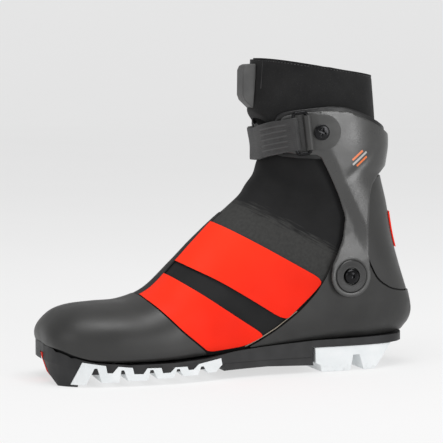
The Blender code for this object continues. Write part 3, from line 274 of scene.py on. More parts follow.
# ---- Binding bar and toe insert ----
# A hard steel bar lies across the toe block for the ski binding to grip. It is pressed in from one side.
# A thin red insert lies over the block's front edge.
def metal(name, colour, roughness, scratch=0.06):
    made = material(name, colour, roughness, Metallic=1.0)
    worn(made, roughness - scratch, roughness + scratch, 300.0)
    emboss(made, noise(made, 500.0, 4.0, (1.0, 0.15, 1.0)), 0.00002, 0.5)
    return made


def turned(name, profile, centre, axis, look, body, stands_for=(), sides=48, smooth=35.0):
    """A turned piece from (radius, along) points in mm, spun about its axis."""
    bm = spun([(radius * MM, along * MM) for radius, along in profile], sides)
    turn = Vector((0, 0, 1)).rotation_difference(Vector(axis)).to_matrix().to_4x4()
    bmesh.ops.transform(bm, matrix=Matrix.Translation(centre) @ turn, verts=bm.verts[:])
    return piece_from(name, bm, [look], body, smooth, stands_for)


def middle_of(name):
    low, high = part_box(name)
    return (Vector(low) + Vector(high)) / 2


bar_low, bar_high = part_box("binding_bar")
BAR_RADIUS = (bar_high[2] - bar_low[2]) / 2 / MM
bar_half = (bar_high[1] - bar_low[1]) / 2 / MM
bright_steel = metal("bright_steel", (0.62, 0.63, 0.65), 0.24)
turned("steel_bar", [(0, -bar_half), (BAR_RADIUS - 0.3, -bar_half), (BAR_RADIUS, -bar_half + 0.3),
                     (BAR_RADIUS, bar_half - 0.3), (BAR_RADIUS - 0.3, bar_half), (0, bar_half)],
       middle_of("binding_bar"), (0, 1, 0), bright_steel, "boot", ("binding_bar",))
red_rubber = rubber("red_rubber", (0.80, 0.028, 0.014), (0.92, 0.045, 0.02), 0.42)
moulded("toe_edge_insert", "toe_insert", red_rubber, "boot", 0.2)

# ---- Board and insole ----
# A stiff board closes the upper under the foot, and a loose foam insole with a knitted face lies on it.
# Both are flat sheets cut to the last.
knit_face = material("insole_knit", (0.05, 0.05, 0.052), 0.9, Sheen_Weight=0.3)
mottle(knit_face, 700.0, (0.09, 0.09, 0.093), 2.0, 0.4, 0.6)
knit_rows = node(knit_face, "TexWave", {"bands_direction": 'X'}, Vector=place(knit_face), Scale=260.0,
                 Distortion=1.5)
emboss(knit_face, knit_rows.outputs["Fac"], 0.0001, 0.5)
insole = moulded("foam_insole", "insole", knit_face, "boot", 0.8, 40.0, 3)
board_fibre = material("board_fibre", (0.20, 0.19, 0.17), 0.85)
mottle(board_fibre, 400.0, (0.27, 0.25, 0.22), 5.0, 0.4)
emboss(board_fibre, noise(board_fibre, 900.0), 0.00008, 0.6)
moulded("fibre_board", "lasting_board", board_fibre, "boot", 0.2)

# ---- Upper cloth ----
# One stretch cloth from the toe to the ankle, pulled over a last and bonded to the sole's edge.
# Its ankle lies in soft folds.
LENGTH_SHARE = 303.0 / 306.0
LAST = np.array([
    (-152.4, 33, -152.4, 35.6, 4, 10, 7, 0.50, 2, 2),
    (-150.6, 27, -151, 40.6, -16, 25, 6.5, 0.46, 2.2, 2.1),
    (-146, 21, -146.6, 46.8, -27.5, 33.5, 6, 0.40, 2.6, 2.2),
    (-137, 16, -138, 53.2, -36.5, 40, 5, 0.34, 3, 2.3),
    (-124, 14.3, -125.5, 56.4, -42.5, 44.5, 4, 0.30, 3.4, 2.4),
    (-105, 14, -107, 57.6, -46.6, 47.6, 4, 0.28, 3.8, 2.45),
    (-83, 14, -86, 58.9, -48.3, 48.4, 4, 0.28, 4, 2.4),
    (-60, 14, -66, 67.2, -48.2, 45.8, 4, 0.28, 4, 2.2),
    (-35, 14, -46, 86.6, -43.8, 40.6, 4, 0.27, 4, 2.1),
    (-5, 14.4, -29.5, 103.6, -39.2, 36.6, 4, 0.28, 4, 2.05),
    (32, 17.5, -12.5, 120, -37, 35.4, 3, 0.32, 3.8, 2.1),
    (75, 20, 4.8, 133.4, -37.2, 36.2, 2, 0.38, 3.6, 2.2),
    (116, 20.4, 15.2, 145.8, -38.6, 38, 1, 0.42, 3, 2.3),
    (140, 24.5, 22, 156.4, -38.6, 38.2, 0, 0.45, 2.3, 2.3),
    (151.5, 36, 26.4, 166.5, -38.6, 38.4, 0, 0.45, 2.15, 2.3),
    (151.2, 50, 26.4, 175.5, -38.4, 38.4, 0, 0.47, 2.15, 2.3),
    (142.8, 76, 26.4, 185.5, -38.2, 38.2, 0, 0.50, 2.2, 2.3),
    (136, 100, 20.4, 195.5, -37.6, 37.6, 0, 0.50, 2.2, 2.3),
    (131.2, 127, 15.6, 202.5, -37, 37, 0, 0.50, 2.2, 2.3),
    (124.2, 156, 16.6, 213, -37, 37, 0, 0.50, 2.25, 2.35),
    (122.3, 192, 17.8, 226.5, -37.6, 37.6, 0, 0.50, 2.3, 2.4),
    (118.6, 229, 19, 242, -38.6, 38.6, 0, 0.50, 2.35, 2.45)])
COLLAR_END = len(LAST) - 1.0


def smooth_between(rows, along):
    """Rows of numbers, read smoothly at any place between them."""
    along = np.clip(along, 0.0, len(rows) - 1.0)
    first = np.minimum(along.astype(int), len(rows) - 2)
    t = (along - first)[..., None]
    a, b, c, d = (rows[np.clip(first + k, 0, len(rows) - 1)] for k in (-1, 0, 1, 2))
    curve = 2 * b + (c - a) * t + (2 * a - 5 * b + 4 * c - d) * t ** 2 + (3 * b - a - 3 * c + d) * t ** 3
    return 0.5 * curve


def squared_circle(angle, power):
    """Across and along shares of a superellipse in the direction of an angle."""
    c, s = np.abs(np.cos(angle)), np.abs(np.sin(angle))
    reach = (c ** power + s ** power) ** (-1.0 / power)
    return c * reach, np.sign(np.sin(angle)) * s * reach


def on_last(s, a):
    """The boot's skin in mm: s runs from toe to collar, a from -90 degrees underneath up the outer side."""
    low_x, low_z, high_x, high_z, outer, inner, ridge, widest, low_p, high_p = np.moveaxis(
        smooth_between(LAST, s), -1, 0)
    across, up = squared_circle(a, np.where(np.sin(a) < 0, low_p, high_p))
    share = widest + up * np.where(up < 0, widest, 1.0 - widest)
    edge = np.where(np.cos(a) >= 0, outer, inner)
    return np.stack([(low_x + share * (high_x - low_x)) * LENGTH_SHARE, ridge + across * (edge - ridge),
                     low_z + share * (high_z - low_z)], -1)


def off_surface(surface, s, a, out, sign):
    """A point moved off a surface along its normal, in metres."""
    s, a, out = np.broadcast_arrays(np.asarray(s, float), np.asarray(a, float), np.asarray(out, float))
    along = surface(s + 0.03, a) - surface(s - 0.03, a)
    around = surface(s, a + 0.02) - surface(s, a - 0.02)
    normal = np.cross(along, around) * sign
    normal /= np.maximum(np.linalg.norm(normal, axis=-1, keepdims=True), 1e-9)
    return (surface(s, a) + normal * out[..., None]) * MM


def skin(s, a, out=0.0):
    return off_surface(on_last, s, a, out, 1.0)


def laid(across, along, where, wrap=False):
    """A grid laid over a surface by where(u, v), with u and v from 0 to 1."""
    bm = bmesh.new()
    bm.loops.layers.uv.new("UVMap")
    bmesh.ops.create_grid(bm, x_segments=across, y_segments=along, size=0.5, calc_uvs=True)
    uv = np.array([(vert.co.x + 0.5, vert.co.y + 0.5) for vert in bm.verts])
    for vert, spot in zip(bm.verts, where(uv[:, 0], uv[:, 1])):
        vert.co = spot
    if wrap:
        bmesh.ops.remove_doubles(bm, verts=bm.verts[:], dist=2e-6)
    return bm


def face_from(bm, core):
    """Turns an open sheet's faces away from its middle line."""
    middles = [(face.normal, face.calc_center_median()) for face in bm.faces]
    if sum(normal.dot(middle - core(middle)) for normal, middle in middles) < 0:
        bmesh.ops.reverse_faces(bm, faces=bm.faces[:])


def sheet(across, along, where, core, wrap=True):
    """A cloth, film or wall laid over a surface, closed at the toe, facing away from a middle line."""
    bm = laid(across, along, where, wrap)
    toe_ring = [edge for edge in bm.edges if edge.is_boundary and edge.verts[0].co.x < -0.14]
    if toe_ring:
        bmesh.ops.holes_fill(bm, edges=toe_ring, sides=0)
    bmesh.ops.recalc_face_normals(bm, faces=bm.faces[:])
    face_from(bm, core)
    return bm


def unit(value):
    return np.clip(value, 0.0, 1.0)


def foot_core(point):
    """The middle line of the foot and shin."""
    if point.x > 0.03 or point.z > 0.12:
        return Vector((0.075, 0.0, max(point.z, 0.035)))
    return Vector((point.x, 0.002, 0.032))


def baked(obj):
    """The piece with its modifiers worked into its mesh."""
    graph = bpy.context.evaluated_depsgraph_get()
    graph.update()
    data = bpy.data.meshes.new_from_object(obj.evaluated_get(graph))
    obj.modifiers.clear()
    obj.data = data
    return obj


def walled(obj, thickness):
    wall = obj.modifiers.new("wall", 'SOLIDIFY')
    wall.thickness, wall.offset = thickness * MM, -1.0
    wall.use_even_offset = False
    return obj


CLOTH_OUT, CLOTH_THICK = -1.6, 1.5
CLOTH_TOP_Z = 0.170


def under_strap(x, z):
    """The cloth and the collar stand a little fuller in front, behind the strap."""
    return 1.5 * np.exp(-((z - 163.0) / 9.0) ** 2) * unit((48.0 - x) / 20.0)


def cloth_skin(u, v):
    s, a = v * (COLLAR_END - 1.0), -math.pi / 2 + u * 2 * math.pi
    x, y, z = np.moveaxis(on_last(s, a), -1, 0)
    ankle = np.exp(-((z - 145.0) / 17.0) ** 2) * unit((78.0 - x) / 45.0)
    folds = 0.42 * np.sin((z + 0.42 * x) / 3.4 + 0.9 * np.sin(y / 11.0))
    folds += 0.3 * np.sin((z - 0.35 * x) / 6.1)
    return skin(s, a, CLOTH_OUT + (0.45 + folds) * ankle + under_strap(x, z))


bm = sheet(128, 200, cloth_skin, foot_core)
bmesh.ops.bisect_plane(bm, geom=bm.verts[:] + bm.edges[:] + bm.faces[:], dist=1e-7, clear_outer=True,
                       plane_co=(0, 0, CLOTH_TOP_Z), plane_no=(0, 0, 1))
stretch_cloth = material("stretch_cloth", (0.0085, 0.0085, 0.0088), 0.75, Sheen_Weight=0.04,
                         Sheen_Roughness=0.4, Specular_IOR_Level=0.2)
mottle(stretch_cloth, 28.0, (0.014, 0.014, 0.0144))
SLOPE = (0.485, 0.0, 0.875)      # square to the line where the brushed band fades out
BAND_LOW, BAND_HIGH = 0.0925, 0.1186
up_slope = node(stretch_cloth, "VectorMath", {"operation": 'DOT_PRODUCT'}, i0=place(stretch_cloth),
                i1=SLOPE).outputs["Value"]
streaks = noise(stretch_cloth, 75.0, 5.0, (1.0, 1.0, 0.09), (0.0, math.radians(29.0), 0.0))
ragged = sums(stretch_cloth, 'ADD', times(stretch_cloth, streaks, 0.022), up_slope)
brushed = times(stretch_cloth, ranged(stretch_cloth, ragged, BAND_HIGH + 0.014, BAND_HIGH + 0.008),
             ranged(stretch_cloth, up_slope, BAND_LOW - 0.0006, BAND_LOW))
speckles = ranged(stretch_cloth, noise(stretch_cloth, 420.0), 0.3, 0.65, 0.7, 1.0)
paint(stretch_cloth, times(stretch_cloth, brushed, speckles), (0.042, 0.042, 0.0405))
axes = node(stretch_cloth, "SeparateXYZ", Vector=place(stretch_cloth)).outputs
rear_share = times(stretch_cloth, ranged(stretch_cloth, axes["X"], 0.0955, 0.0985),
                   ranged(stretch_cloth, axes["Z"], 0.1512, 0.1500))
paint(stretch_cloth, rear_share, (0.030, 0.030, 0.0292))
ribs = node(stretch_cloth, "TexWave", {"bands_direction": 'Z'}, Vector=place(stretch_cloth), Scale=430.0,
            Distortion=1.0)
emboss(stretch_cloth, ribs.outputs["Fac"], 0.00007, 0.45)
emboss(stretch_cloth, noise(stretch_cloth, 1100.0, 2.0), 0.0001, 0.5)
upper_cloth = piece_from("upper_cloth", bm, [stretch_cloth], None, 80.0, ("upper", "ankle_sleeve"))
baked(walled(upper_cloth, CLOTH_THICK))
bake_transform(upper_cloth)

# ---- Welded film: toe cap, heel panels and the red panels ----
# Thin films, moulded to the last and welded on the cloth. Each is one sheet cut to its outline.
# The cut edges of the red film are dark, and its colour is painted lighter towards the instep, as painted
# light from above.
FILM_OUT = -0.1
WIDE = 80.0


def side_cutter(outline, look, y_low=-WIDE, y_high=WIDE):
    """A side view outline in mm, run across the boot."""
    bm = bmesh.new()
    ring = [bm.verts.new((x * LENGTH_SHARE * MM, y_low * MM, z * MM)) for x, z in outline]
    sheet = bm.faces.new(ring)
    run = bmesh.ops.extrude_face_region(bm, geom=[sheet])
    moved = [item for item in run["geom"] if isinstance(item, bmesh.types.BMVert)]
    bmesh.ops.translate(bm, vec=(0.0, (y_high - y_low) * MM, 0.0), verts=moved)
    bmesh.ops.recalc_face_normals(bm, faces=bm.faces[:])
    return piece_from("cutter", bm, [look])


def cut_by(obj, cutters, operation='INTERSECT'):
    """Trims a piece, and takes the cut faces' material from the cutter."""
    for cutter in cutters:
        trim = obj.modifiers.new("trim", 'BOOLEAN')
        trim.operation, trim.object, trim.solver, trim.material_mode = operation, cutter, 'EXACT', 'TRANSFER'
    baked(obj)
    for cutter in cutters:
        bpy.data.objects.remove(cutter, do_unlink=True)
    return obj


def softened(outline, rounds=2, share=0.2):
    """An outline with its corners cut back into curves."""
    points = [np.array(p, float) for p in outline]
    for _ in range(rounds):
        pairs = zip(points, points[1:] + points[:1])
        points = [q for a, b in pairs for q in (a + (b - a) * share, b + (a - b) * share)]
    return [tuple(p) for p in points]


def film(name, outline, span, looks, body, node_name, out=FILM_OUT, thick=1.0, sides=(-WIDE, WIDE),
         rise=None):
    """A film moulded to the skin between two stations, cut to a side view outline."""
    def place_film(u, v):
        s, a = span[0] + v * (span[1] - span[0]), -math.pi / 2 + u * 2 * math.pi
        lift = rise(*np.moveaxis(on_last(s, a), -1, 0)) if rise else 0.0
        return skin(s, a, out + lift)
    bm = sheet(110, int((span[1] - span[0]) * 11), place_film, foot_core)
    obj = piece_from(name, bm, looks, body, 180.0, (node_name,))
    baked(walled(obj, thick))
    cut_by(obj, [side_cutter(softened(outline), looks[-1], *sides)])
    obj.data.shade_smooth()
    obj.data.set_sharp_from_angle(angle=math.radians(38.0))
    return obj


def film_look(name, colour, lighter, roughness, tint_scale=26.0):
    """Satin film with a faint pebbled face."""
    made = material(name, colour, roughness, Specular_IOR_Level=0.4)
    mottle(made, tint_scale, lighter, 2.0)
    worn(made, roughness - 0.05, roughness + 0.07, 50.0)
    pebbles = node(made, "TexVoronoi", Vector=place(made), Scale=1300.0).outputs["Distance"]
    emboss(made, pebbles, 0.00005, 0.4)
    return made


charcoal_film = film_look("charcoal_film", (0.026, 0.026, 0.0253), (0.033, 0.033, 0.032), 0.42)
dark_edge = rubber("film_edge", (0.012, 0.011, 0.011), (0.016, 0.015, 0.015), 0.6)
TOE_SEAM = [(-76, 80), (-76, 62), (-70, 55), (-55, 39), (-40, 27), (-30, 18.5)]
film("toe_cap_film", TOE_SEAM + [(-60.0, 17.2), (-95.0, 17.2), (-120.0, 19.0), (-135.0, 23.0), (-146.0, 28.0),
                                 (-160.0, 29.0), (-170.0, 29.0), (-170.0, 80.0)],
     (0.0, 10.0), [charcoal_film], "boot", "toe_cap", 0.3, 1.4)
# The heel's film runs on up the back of the ankle under the cuff.
HEEL_PANEL = [(102, 88.5), (111.5, 71), (127, 62), (165, 59.2), (165, 152), (100, 150),
              (97, 125), (99, 108)]
heel_film = film("heel_panel_film", HEEL_PANEL, (12.0, 20.0), [charcoal_film], None, "heel_panel",
                 0.3, 1.4)
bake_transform(heel_film)

red_film = film_look("red_film", (0.82, 0.017, 0.004), (0.94, 0.024, 0.007), 0.6, 18.0)
shader_of(red_film).inputs["Specular IOR Level"].default_value = 0.12
# Painted light: the red film is painted lighter towards the instep, where the light from above falls.
painted_light_rise = node(red_film, "VectorMath", {"operation": 'DOT_PRODUCT'}, i0=place(red_film),
                     i1=(-0.35, 0.0, 0.93)).outputs["Value"]
paint(red_film, ranged(red_film, painted_light_rise, 0.03, 0.125, 0.0, 0.55, True), (1.0, 0.052, 0.014))
RED_PANELS = (
    ("lower", (4.5, 13), [
        (-75, 62.5), (-69, 55.8), (-54, 40), (-39, 28), (-31, 21.5), (-16, 22.4), (0, 24),
        (10, 28), (16.5, 31.5), (-6, 46), (-30, 62), (-48, 73.5), (-60, 83), (-64, 80),
        (-69, 68)]),
    ("upper", (5.5, 15), [
        (-50, 93), (-44, 86.5), (-20, 74.5), (5, 59.5), (33.5, 41.8), (42, 49), (57, 62.6),
        (65, 72), (41, 85.5), (10, 103), (-8, 113), (-18, 118.5), (-21, 124)]))
RIDGE_OUTER, ZIP_SIDE = 0.15, 32.0
for side, reach in (("lateral", (-WIDE, RIDGE_OUTER)), ("medial", (ZIP_SIDE, WIDE))):
    for level, span, outline in RED_PANELS:
        film(f"red_{level}_{side}", outline, span, [red_film, dark_edge], "boot", f"red_panel_{level}_{side}",
             sides=reach)
RED_TAB = [(120, 94), (160, 94), (160, 122), (120, 122)]
film("heel_pull_film", RED_TAB, (14.0, 20.0), [red_film], "boot", "heel_tab", 1.65, 1.0,
     (-17.0, 17.0))

# ---- Instep cover and tongue ----
# A black cloth strip covers the instep between the red film and the zip, welded along its outer edge.
# A soft foam tongue in knitted cloth lies under it, inside the upper.
cover_cloth = rubber("cover_cloth", (0.0125, 0.0125, 0.013), (0.019, 0.019, 0.0195), 0.68)
weft = node(cover_cloth, "TexWave", {"bands_direction": 'DIAGONAL'}, Vector=place(cover_cloth), Scale=420.0)
emboss(cover_cloth, weft.outputs["Fac"], 0.00006, 0.4)
INSTEP = [(-75.2, 72), (-75.2, 62.4), (-69.2, 55.4), (-60, 50), (-20, 95), (2, 115),
          (-12, 130), (-40, 110)]
film("instep_strip", INSTEP, (5.0, 14.0), [cover_cloth], "boot", "instep_cover",
     sides=(RIDGE_OUTER + 0.35, 18.0), rise=lambda x, y, z: -0.9 * unit((z - 100.0) / 18.0))
tongue = moulded("knit_tongue", "tongue", cover_cloth, "boot", 0.8, 50.0, 3)

# ---- Heel counter and its piping ----
# A stiff cup of moulded nylon holds the heel and carries the cuff's pivots. It is bonded over the cloth.
# A thin pale cord is laid into the joint along its front edge.
counter_nylon = rubber("counter_nylon", (0.024, 0.024, 0.0233), (0.030, 0.030, 0.0292), 0.44)
COUNTER_FRONT = [(2, 22.3), (12, 27), (27, 35.5), (44.5, 48), (58.5, 62), (67.5, 76),
                 (73, 90)]
COUNTER = COUNTER_FRONT + [(86.0, 97.0), (100.0, 88.0), (110.0, 70.0), (126.0, 61.0), (165.0, 58.0),
                           (165.0, 26.8), (60.0, 25.6), (20.0, 23.2)]
film("counter_cup", COUNTER, (8.0, 19.0), [counter_nylon, dark_edge], "boot", "heel_counter",
     1.2, 2.2, rise=lambda x, y, z: -0.35 * np.exp(-((z - 31.0) / 2.0) ** 2))


bm = laid(240, 220, lambda u, v: skin(v * COLLAR_END, -math.pi / 2 + u * 2 * math.pi), wrap=True)
skin_tree = BVHTree.FromBMesh(bm)
bm.free()


def side_spot(tree, x, z, side, lift):
    """The point on a surface at a place in the side view, on the outer (-1) or inner (1) side."""
    start = Vector((x * LENGTH_SHARE * MM, side * 0.2, z * MM))
    spot, normal, _, _ = tree.ray_cast(start, Vector((0, -side, 0)))
    if normal.y * side < 0:
        normal = -normal
    return spot + normal * lift * MM


def dense(points, step):
    """Points spread evenly along a line."""
    points = [Vector(p) for p in points]
    line = [points[0]]
    for a, b in zip(points, points[1:]):
        count = max(1, round((b - a).length / step))
        line += [a.lerp(b, k / count) for k in range(1, count + 1)]
    return line


def wire(name, path, radius, look, body, stands_for=(), closed=False, sides=10):
    """A round wire: one circle of vertices at each point of a path, bridged to the next."""
    bm = bmesh.new()
    count = len(path)
    rings, side_way = [], None
    for k, point in enumerate(path):
        before = path[k - 1] if k or closed else point
        after = path[(k + 1) % count] if k < count - 1 or closed else point
        along = (after - before).normalized()
        if side_way is None:
            side_way = along.orthogonal()
        side_way = (side_way - along * side_way.dot(along)).normalized()
        third = along.cross(side_way)
        basis = Matrix((side_way, third, along)).transposed().to_4x4()
        ring = bmesh.ops.create_circle(bm, segments=sides, radius=radius * MM,
                                       matrix=Matrix.Translation(point) @ basis)
        rings.append(ring["verts"])
    for near, far in list(zip(rings, rings[1:])) + ([(rings[-1], rings[0])] if closed else []):
        edges = dict.fromkeys(edge for ring in (near, far) for vert in ring for edge in vert.link_edges)
        bmesh.ops.bridge_loops(bm, edges=[edge for edge in edges
                                          if any(set(edge.verts) <= set(ring) for ring in (near, far))])
    if not closed:
        bmesh.ops.holes_fill(bm, edges=[e for e in bm.edges if e.is_boundary], sides=0)
    bmesh.ops.recalc_face_normals(bm, faces=bm.faces[:])
    return piece_from(name, bm, [look], body, 60.0, stands_for)


piping_cloth = rubber("piping_cloth", (0.20, 0.17, 0.13), (0.28, 0.24, 0.19), 0.7)
for side, label in ((-1, "lateral"), (1, "medial")):
    line = dense([(x - 1.3, 0.0, z + 0.8) for x, z in COUNTER_FRONT[:4]], 2.0)
    spots = [side_spot(skin_tree, p.x, p.z, side, -0.6) for p in line]
    wire("counter_piping_" + label, spots, 0.4, piping_cloth, "boot", sides=8)

# ---- Collar ----
# A 3 mm neoprene sleeve round the ankle, closed in front by a flat seam and turned over at its top edge.
# A sewn hem runs round it just under the edge. It is bonded to the cuff's lining.
COLLAR_OUT, COLLAR_THICK = -1.6, 3.0
COLLAR_FROM = 17.0
HEM_DOWN = 3.2 / 37.0


def collar_skin(u, v):
    s, a = COLLAR_FROM + v * (COLLAR_END - COLLAR_FROM), -math.pi / 2 + u * 2 * math.pi
    x, y, z = np.moveaxis(on_last(s, a), -1, 0)
    hem = -0.55 * np.exp(-((COLLAR_END - s - HEM_DOWN) / 0.022) ** 2)
    crease = -0.35 * np.exp(-(((x - 78.0) + (z - 222.0) * 0.8) / 2.6) ** 2) * unit((z - 206.0) / 6.0)
    swell = 0.25 * np.sin(x / 14.0 + 1.0) * np.sin(z / 9.0) * unit((236.0 - z) / 10.0)
    return skin(s, a, COLLAR_OUT - 0.3 + hem + crease + swell + under_strap(x, z))


bm = sheet(150, 130, collar_skin, foot_core)
bmesh.ops.bisect_plane(bm, geom=bm.verts[:] + bm.edges[:] + bm.faces[:], dist=1e-7, clear_inner=True,
                       plane_co=(0, 0, 0.1648), plane_no=(0, 0, 1))
neoprene = material("neoprene", (0.0085, 0.0085, 0.0088), 0.8, Sheen_Weight=0.05, Sheen_Roughness=0.5,
                    Specular_IOR_Level=0.18)
mottle(neoprene, 45.0, (0.0145, 0.0145, 0.0148), 4.0, high=0.7)
lint = ranged(neoprene, noise(neoprene, 900.0, 2.0, (1.0, 1.0, 0.4)), 0.62, 0.72, 0.0, 0.35)
paint(neoprene, lint, (0.055, 0.055, 0.056))
jersey = node(neoprene, "TexWave", {"bands_direction": 'Z'}, Vector=place(neoprene), Scale=520.0,
              Distortion=1.5)
emboss(neoprene, jersey.outputs["Fac"], 0.00008, 0.5)
emboss(neoprene, noise(neoprene, 700.0, 3.0), 0.00018, 0.5)
collar = piece_from("neoprene_collar", bm, [neoprene], "cuff", 60.0, ("collar",))
walled(collar, COLLAR_THICK - 0.3)
eased(collar, 1.1, 3, 60.0)
baked(collar)

thread = rubber("thread", (0.03, 0.03, 0.0305), (0.085, 0.085, 0.086), 0.75)


def stitches(name, line, body, length=1.9, width=0.32):
    """A row of sewn stitches: one small bead of thread along each step of a line of points and normals."""
    bm = bmesh.new()
    for (here, up), (after, _) in zip(line, line[1:]):
        along = (after - here).normalized()
        up = (up - along * up.dot(along)).normalized()
        basis = Matrix((along, up.cross(along), up)).transposed().to_4x4()
        size = Matrix.Diagonal((length / 2 * MM, width * MM, width * 0.8 * MM, 1.0))
        bmesh.ops.create_uvsphere(bm, u_segments=6, v_segments=4, radius=1.0,
                                  matrix=Matrix.Translation((here + after) / 2) @ basis @ size)
    return piece_from(name, bm, [thread], body, 80.0)


def skin_line(s, a, lift):
    """Points and normals along the collar's face, through stations s and angles a."""
    low, high = skin(s, a, lift), skin(s, a, lift + 1.0)
    return [(Vector(p), (Vector(q) - Vector(p)).normalized()) for p, q in zip(low, high)]


FRONT_SEAM = math.radians(68.0)
hem_line = skin_line(np.full(118, COLLAR_END - HEM_DOWN), np.linspace(0.0, 2 * math.pi, 118) - math.pi / 2,
                     COLLAR_OUT - 0.55)
front_line = skin_line(np.linspace(19.6, COLLAR_END - 0.1, 22), np.full(22, FRONT_SEAM), COLLAR_OUT - 0.25)
stitches("collar_hem_stitches", hem_line, "cuff")
stitches("collar_front_stitches", front_line, "cuff")

# ---- Pull tab ----
# A soft rubber tab at the front of the collar, moulded round a folded tape and sewn to the neoprene.
# It is what the fingers pull when the boot goes on.
tab_rubber = rubber("tab_rubber", (0.060, 0.060, 0.060), (0.080, 0.080, 0.079), 0.5)
moulded("pull_tab", "collar_tab", tab_rubber, "cuff", 1.1, 50.0, 3)

# ---- Cuff ----
# One shell of grey nylon round the ankle, with an arm down each side to its pivot on the heel counter.
# Its outer face is cut by a long crease down to the arm and a short one above it, and is satin all over.
CUFF = np.array([
    (52, 30, 140, 43.6, 5), (80, 30, 140, 43.6, 5), (110, 28, 136, 43.6, 4.4),
    (135, 27, 127.5, 43.6, 3.6), (152, 26.5, 124.5, 43.6, 2.9), (161, 26.5, 126, 43.8, 3),
    (175, 26.6, 128, 44, 3), (188, 24.2, 127.4, 44, 3), (200, 21.5, 125, 43.8, 3),
    (216, 20, 121, 43.4, 3)])
CUFF_TOP = len(CUFF) - 1.0
CUFF_WALL = 2.6
bolt_middle = middle_of("pivot_bolt_lateral")
PIVOT = (bolt_middle.x / MM, bolt_middle.z / MM)


def on_cuff(h, a):
    """The cuff's outer face in mm: a is 0 on the inner side, 90 degrees in front, 180 on the outer side."""
    z, front, rear, half, power = np.moveaxis(smooth_between(CUFF, h), -1, 0)
    across, along = squared_circle(a, power)
    middle, reach = (front + rear) / 2, (rear - front) / 2
    side = np.where(np.cos(a) > 0, 1.0, -1.0)
    return np.stack([(middle - along * reach) * LENGTH_SHARE, side * across * half, z], -1)


def cuff_face(h, a, out=0.0):
    return off_surface(on_cuff, h, a, out, -1.0)


def beside(x, z, a, b):
    """How far a side view point lies to the right of the line from a to b, and its share along it."""
    dx, dz = b[0] - a[0], b[1] - a[1]
    length = math.hypot(dx, dz)
    return ((x - a[0]) * dz - (z - a[1]) * dx) / length, ((x - a[0]) * dx + (z - a[1]) * dz) / length ** 2


def cuff_relief(x, y, z):
    """Facets: the face falls away ahead of the long crease, and into a shallow valley above the arm."""
    ahead, along = beside(x, z, (70.0, 168.0), (95.0, 118.0))
    fall = np.clip(ahead, 0.0, 10.0) * 0.25 * unit(along * 3.0 + 0.8) * unit(3.0 - along * 2.0)
    off, share = beside(x, z, (81.0, 150.0), (101.0, 168.5))
    valley = 0.6 * np.exp(-(off / 3.2) ** 2) * unit(share * 2.0 + 0.4) * unit(3.0 - share * 2.0)
    return -np.minimum(fall, 2.1) - valley


def shell_skin(u, v):
    h, a = v * CUFF_TOP, u * 2 * math.pi
    return cuff_face(h, a, cuff_relief(*np.moveaxis(on_cuff(h, a), -1, 0)))


def ankle_core(point):
    """The middle line of the ankle."""
    return Vector((0.077, 0.0, point.z))


BOSS_RADIUS = 16.5
BOSS = [((PIVOT[0] + BOSS_RADIUS * math.cos(t)) / LENGTH_SHARE, PIVOT[1] + BOSS_RADIUS * math.sin(t))
        for t in np.radians(np.linspace(20.0, -200.0, 21))]
CUFF_EDGE = [(32, 199), (46, 201.6), (66, 203), (84, 202), (104, 194), (136, 177.5),
             (142, 172), (142, 166), (131, 163.5), (119, 157.5), (110, 151.5), (104.5, 146),
             (102, 138), (101, 125), (100.5, 110), (101, 98), (101.5, 85)]
CUFF_FRONT = [(70.5, 84), (75, 93), (79.5, 104), (81.5, 121), (75.5, 138), (68, 154),
              (60, 168.5), (36, 170.5), (31, 175), (30, 190)]
bm = sheet(150, 150, shell_skin, ankle_core)
cuff_nylon = film_look("cuff_nylon", (0.034, 0.034, 0.033), (0.042, 0.042, 0.041), 0.3, 14.0)
shader_of(cuff_nylon).inputs["Specular IOR Level"].default_value = 0.6
emboss(cuff_nylon, noise(cuff_nylon, 2200.0, 1.0), 0.00003, 0.4)
# Three plain slanting bars on the outer side behind the crease, two orange and one pale.
BARS_AT, BARS_TURN = (0.0915, 0.0, 0.166), math.radians(-40.0)
on_bars = place(cuff_nylon, turn=(0.0, BARS_TURN, 0.0), spot=BARS_AT)
bars = node(cuff_nylon, "SeparateXYZ", Vector=on_bars).outputs
outer_only = ranged(cuff_nylon, bars["Y"], -0.0295, -0.0305)
run = sums(cuff_nylon, 'ABSOLUTE', bars["X"])
ORANGE, PALE = (0.75, 0.16, 0.03), (0.42, 0.42, 0.41)
for shift, half_length, colour in ((0.0030, 0.0055, ORANGE), (0.0, 0.0075, PALE), (-0.0030, 0.0055, ORANGE)):
    thin = sums(cuff_nylon, 'ABSOLUTE', sums(cuff_nylon, 'SUBTRACT', bars["Z"], shift))
    share = times(cuff_nylon, ranged(cuff_nylon, thin, 0.0009, 0.0007),
                  ranged(cuff_nylon, run, half_length + 0.0002, half_length))
    paint(cuff_nylon, times(cuff_nylon, share, outer_only), colour)
cuff = piece_from("cuff_shell_moulding", bm, [cuff_nylon], None, 180.0, ("cuff_shell",))
baked(walled(cuff, CUFF_WALL - 0.9))
cut_by(cuff, [side_cutter(softened(CUFF_EDGE + BOSS + CUFF_FRONT, 1, 0.12), cuff_nylon)])


def disc_cutter(centre, radius, y_low, y_high):
    """A disc that sinks a round recess from one side."""
    bm = bmesh.new()
    spot = Matrix.Translation((centre.x, (y_low + y_high) / 2 * MM, centre.z))
    bmesh.ops.create_cone(bm, cap_ends=True, segments=64, radius1=radius * MM, radius2=radius * MM,
                          depth=(y_high - y_low) * MM, matrix=spot @ Matrix.Rotation(math.pi / 2, 4, 'X'))
    return piece_from("cutter", bm, [cuff_nylon])


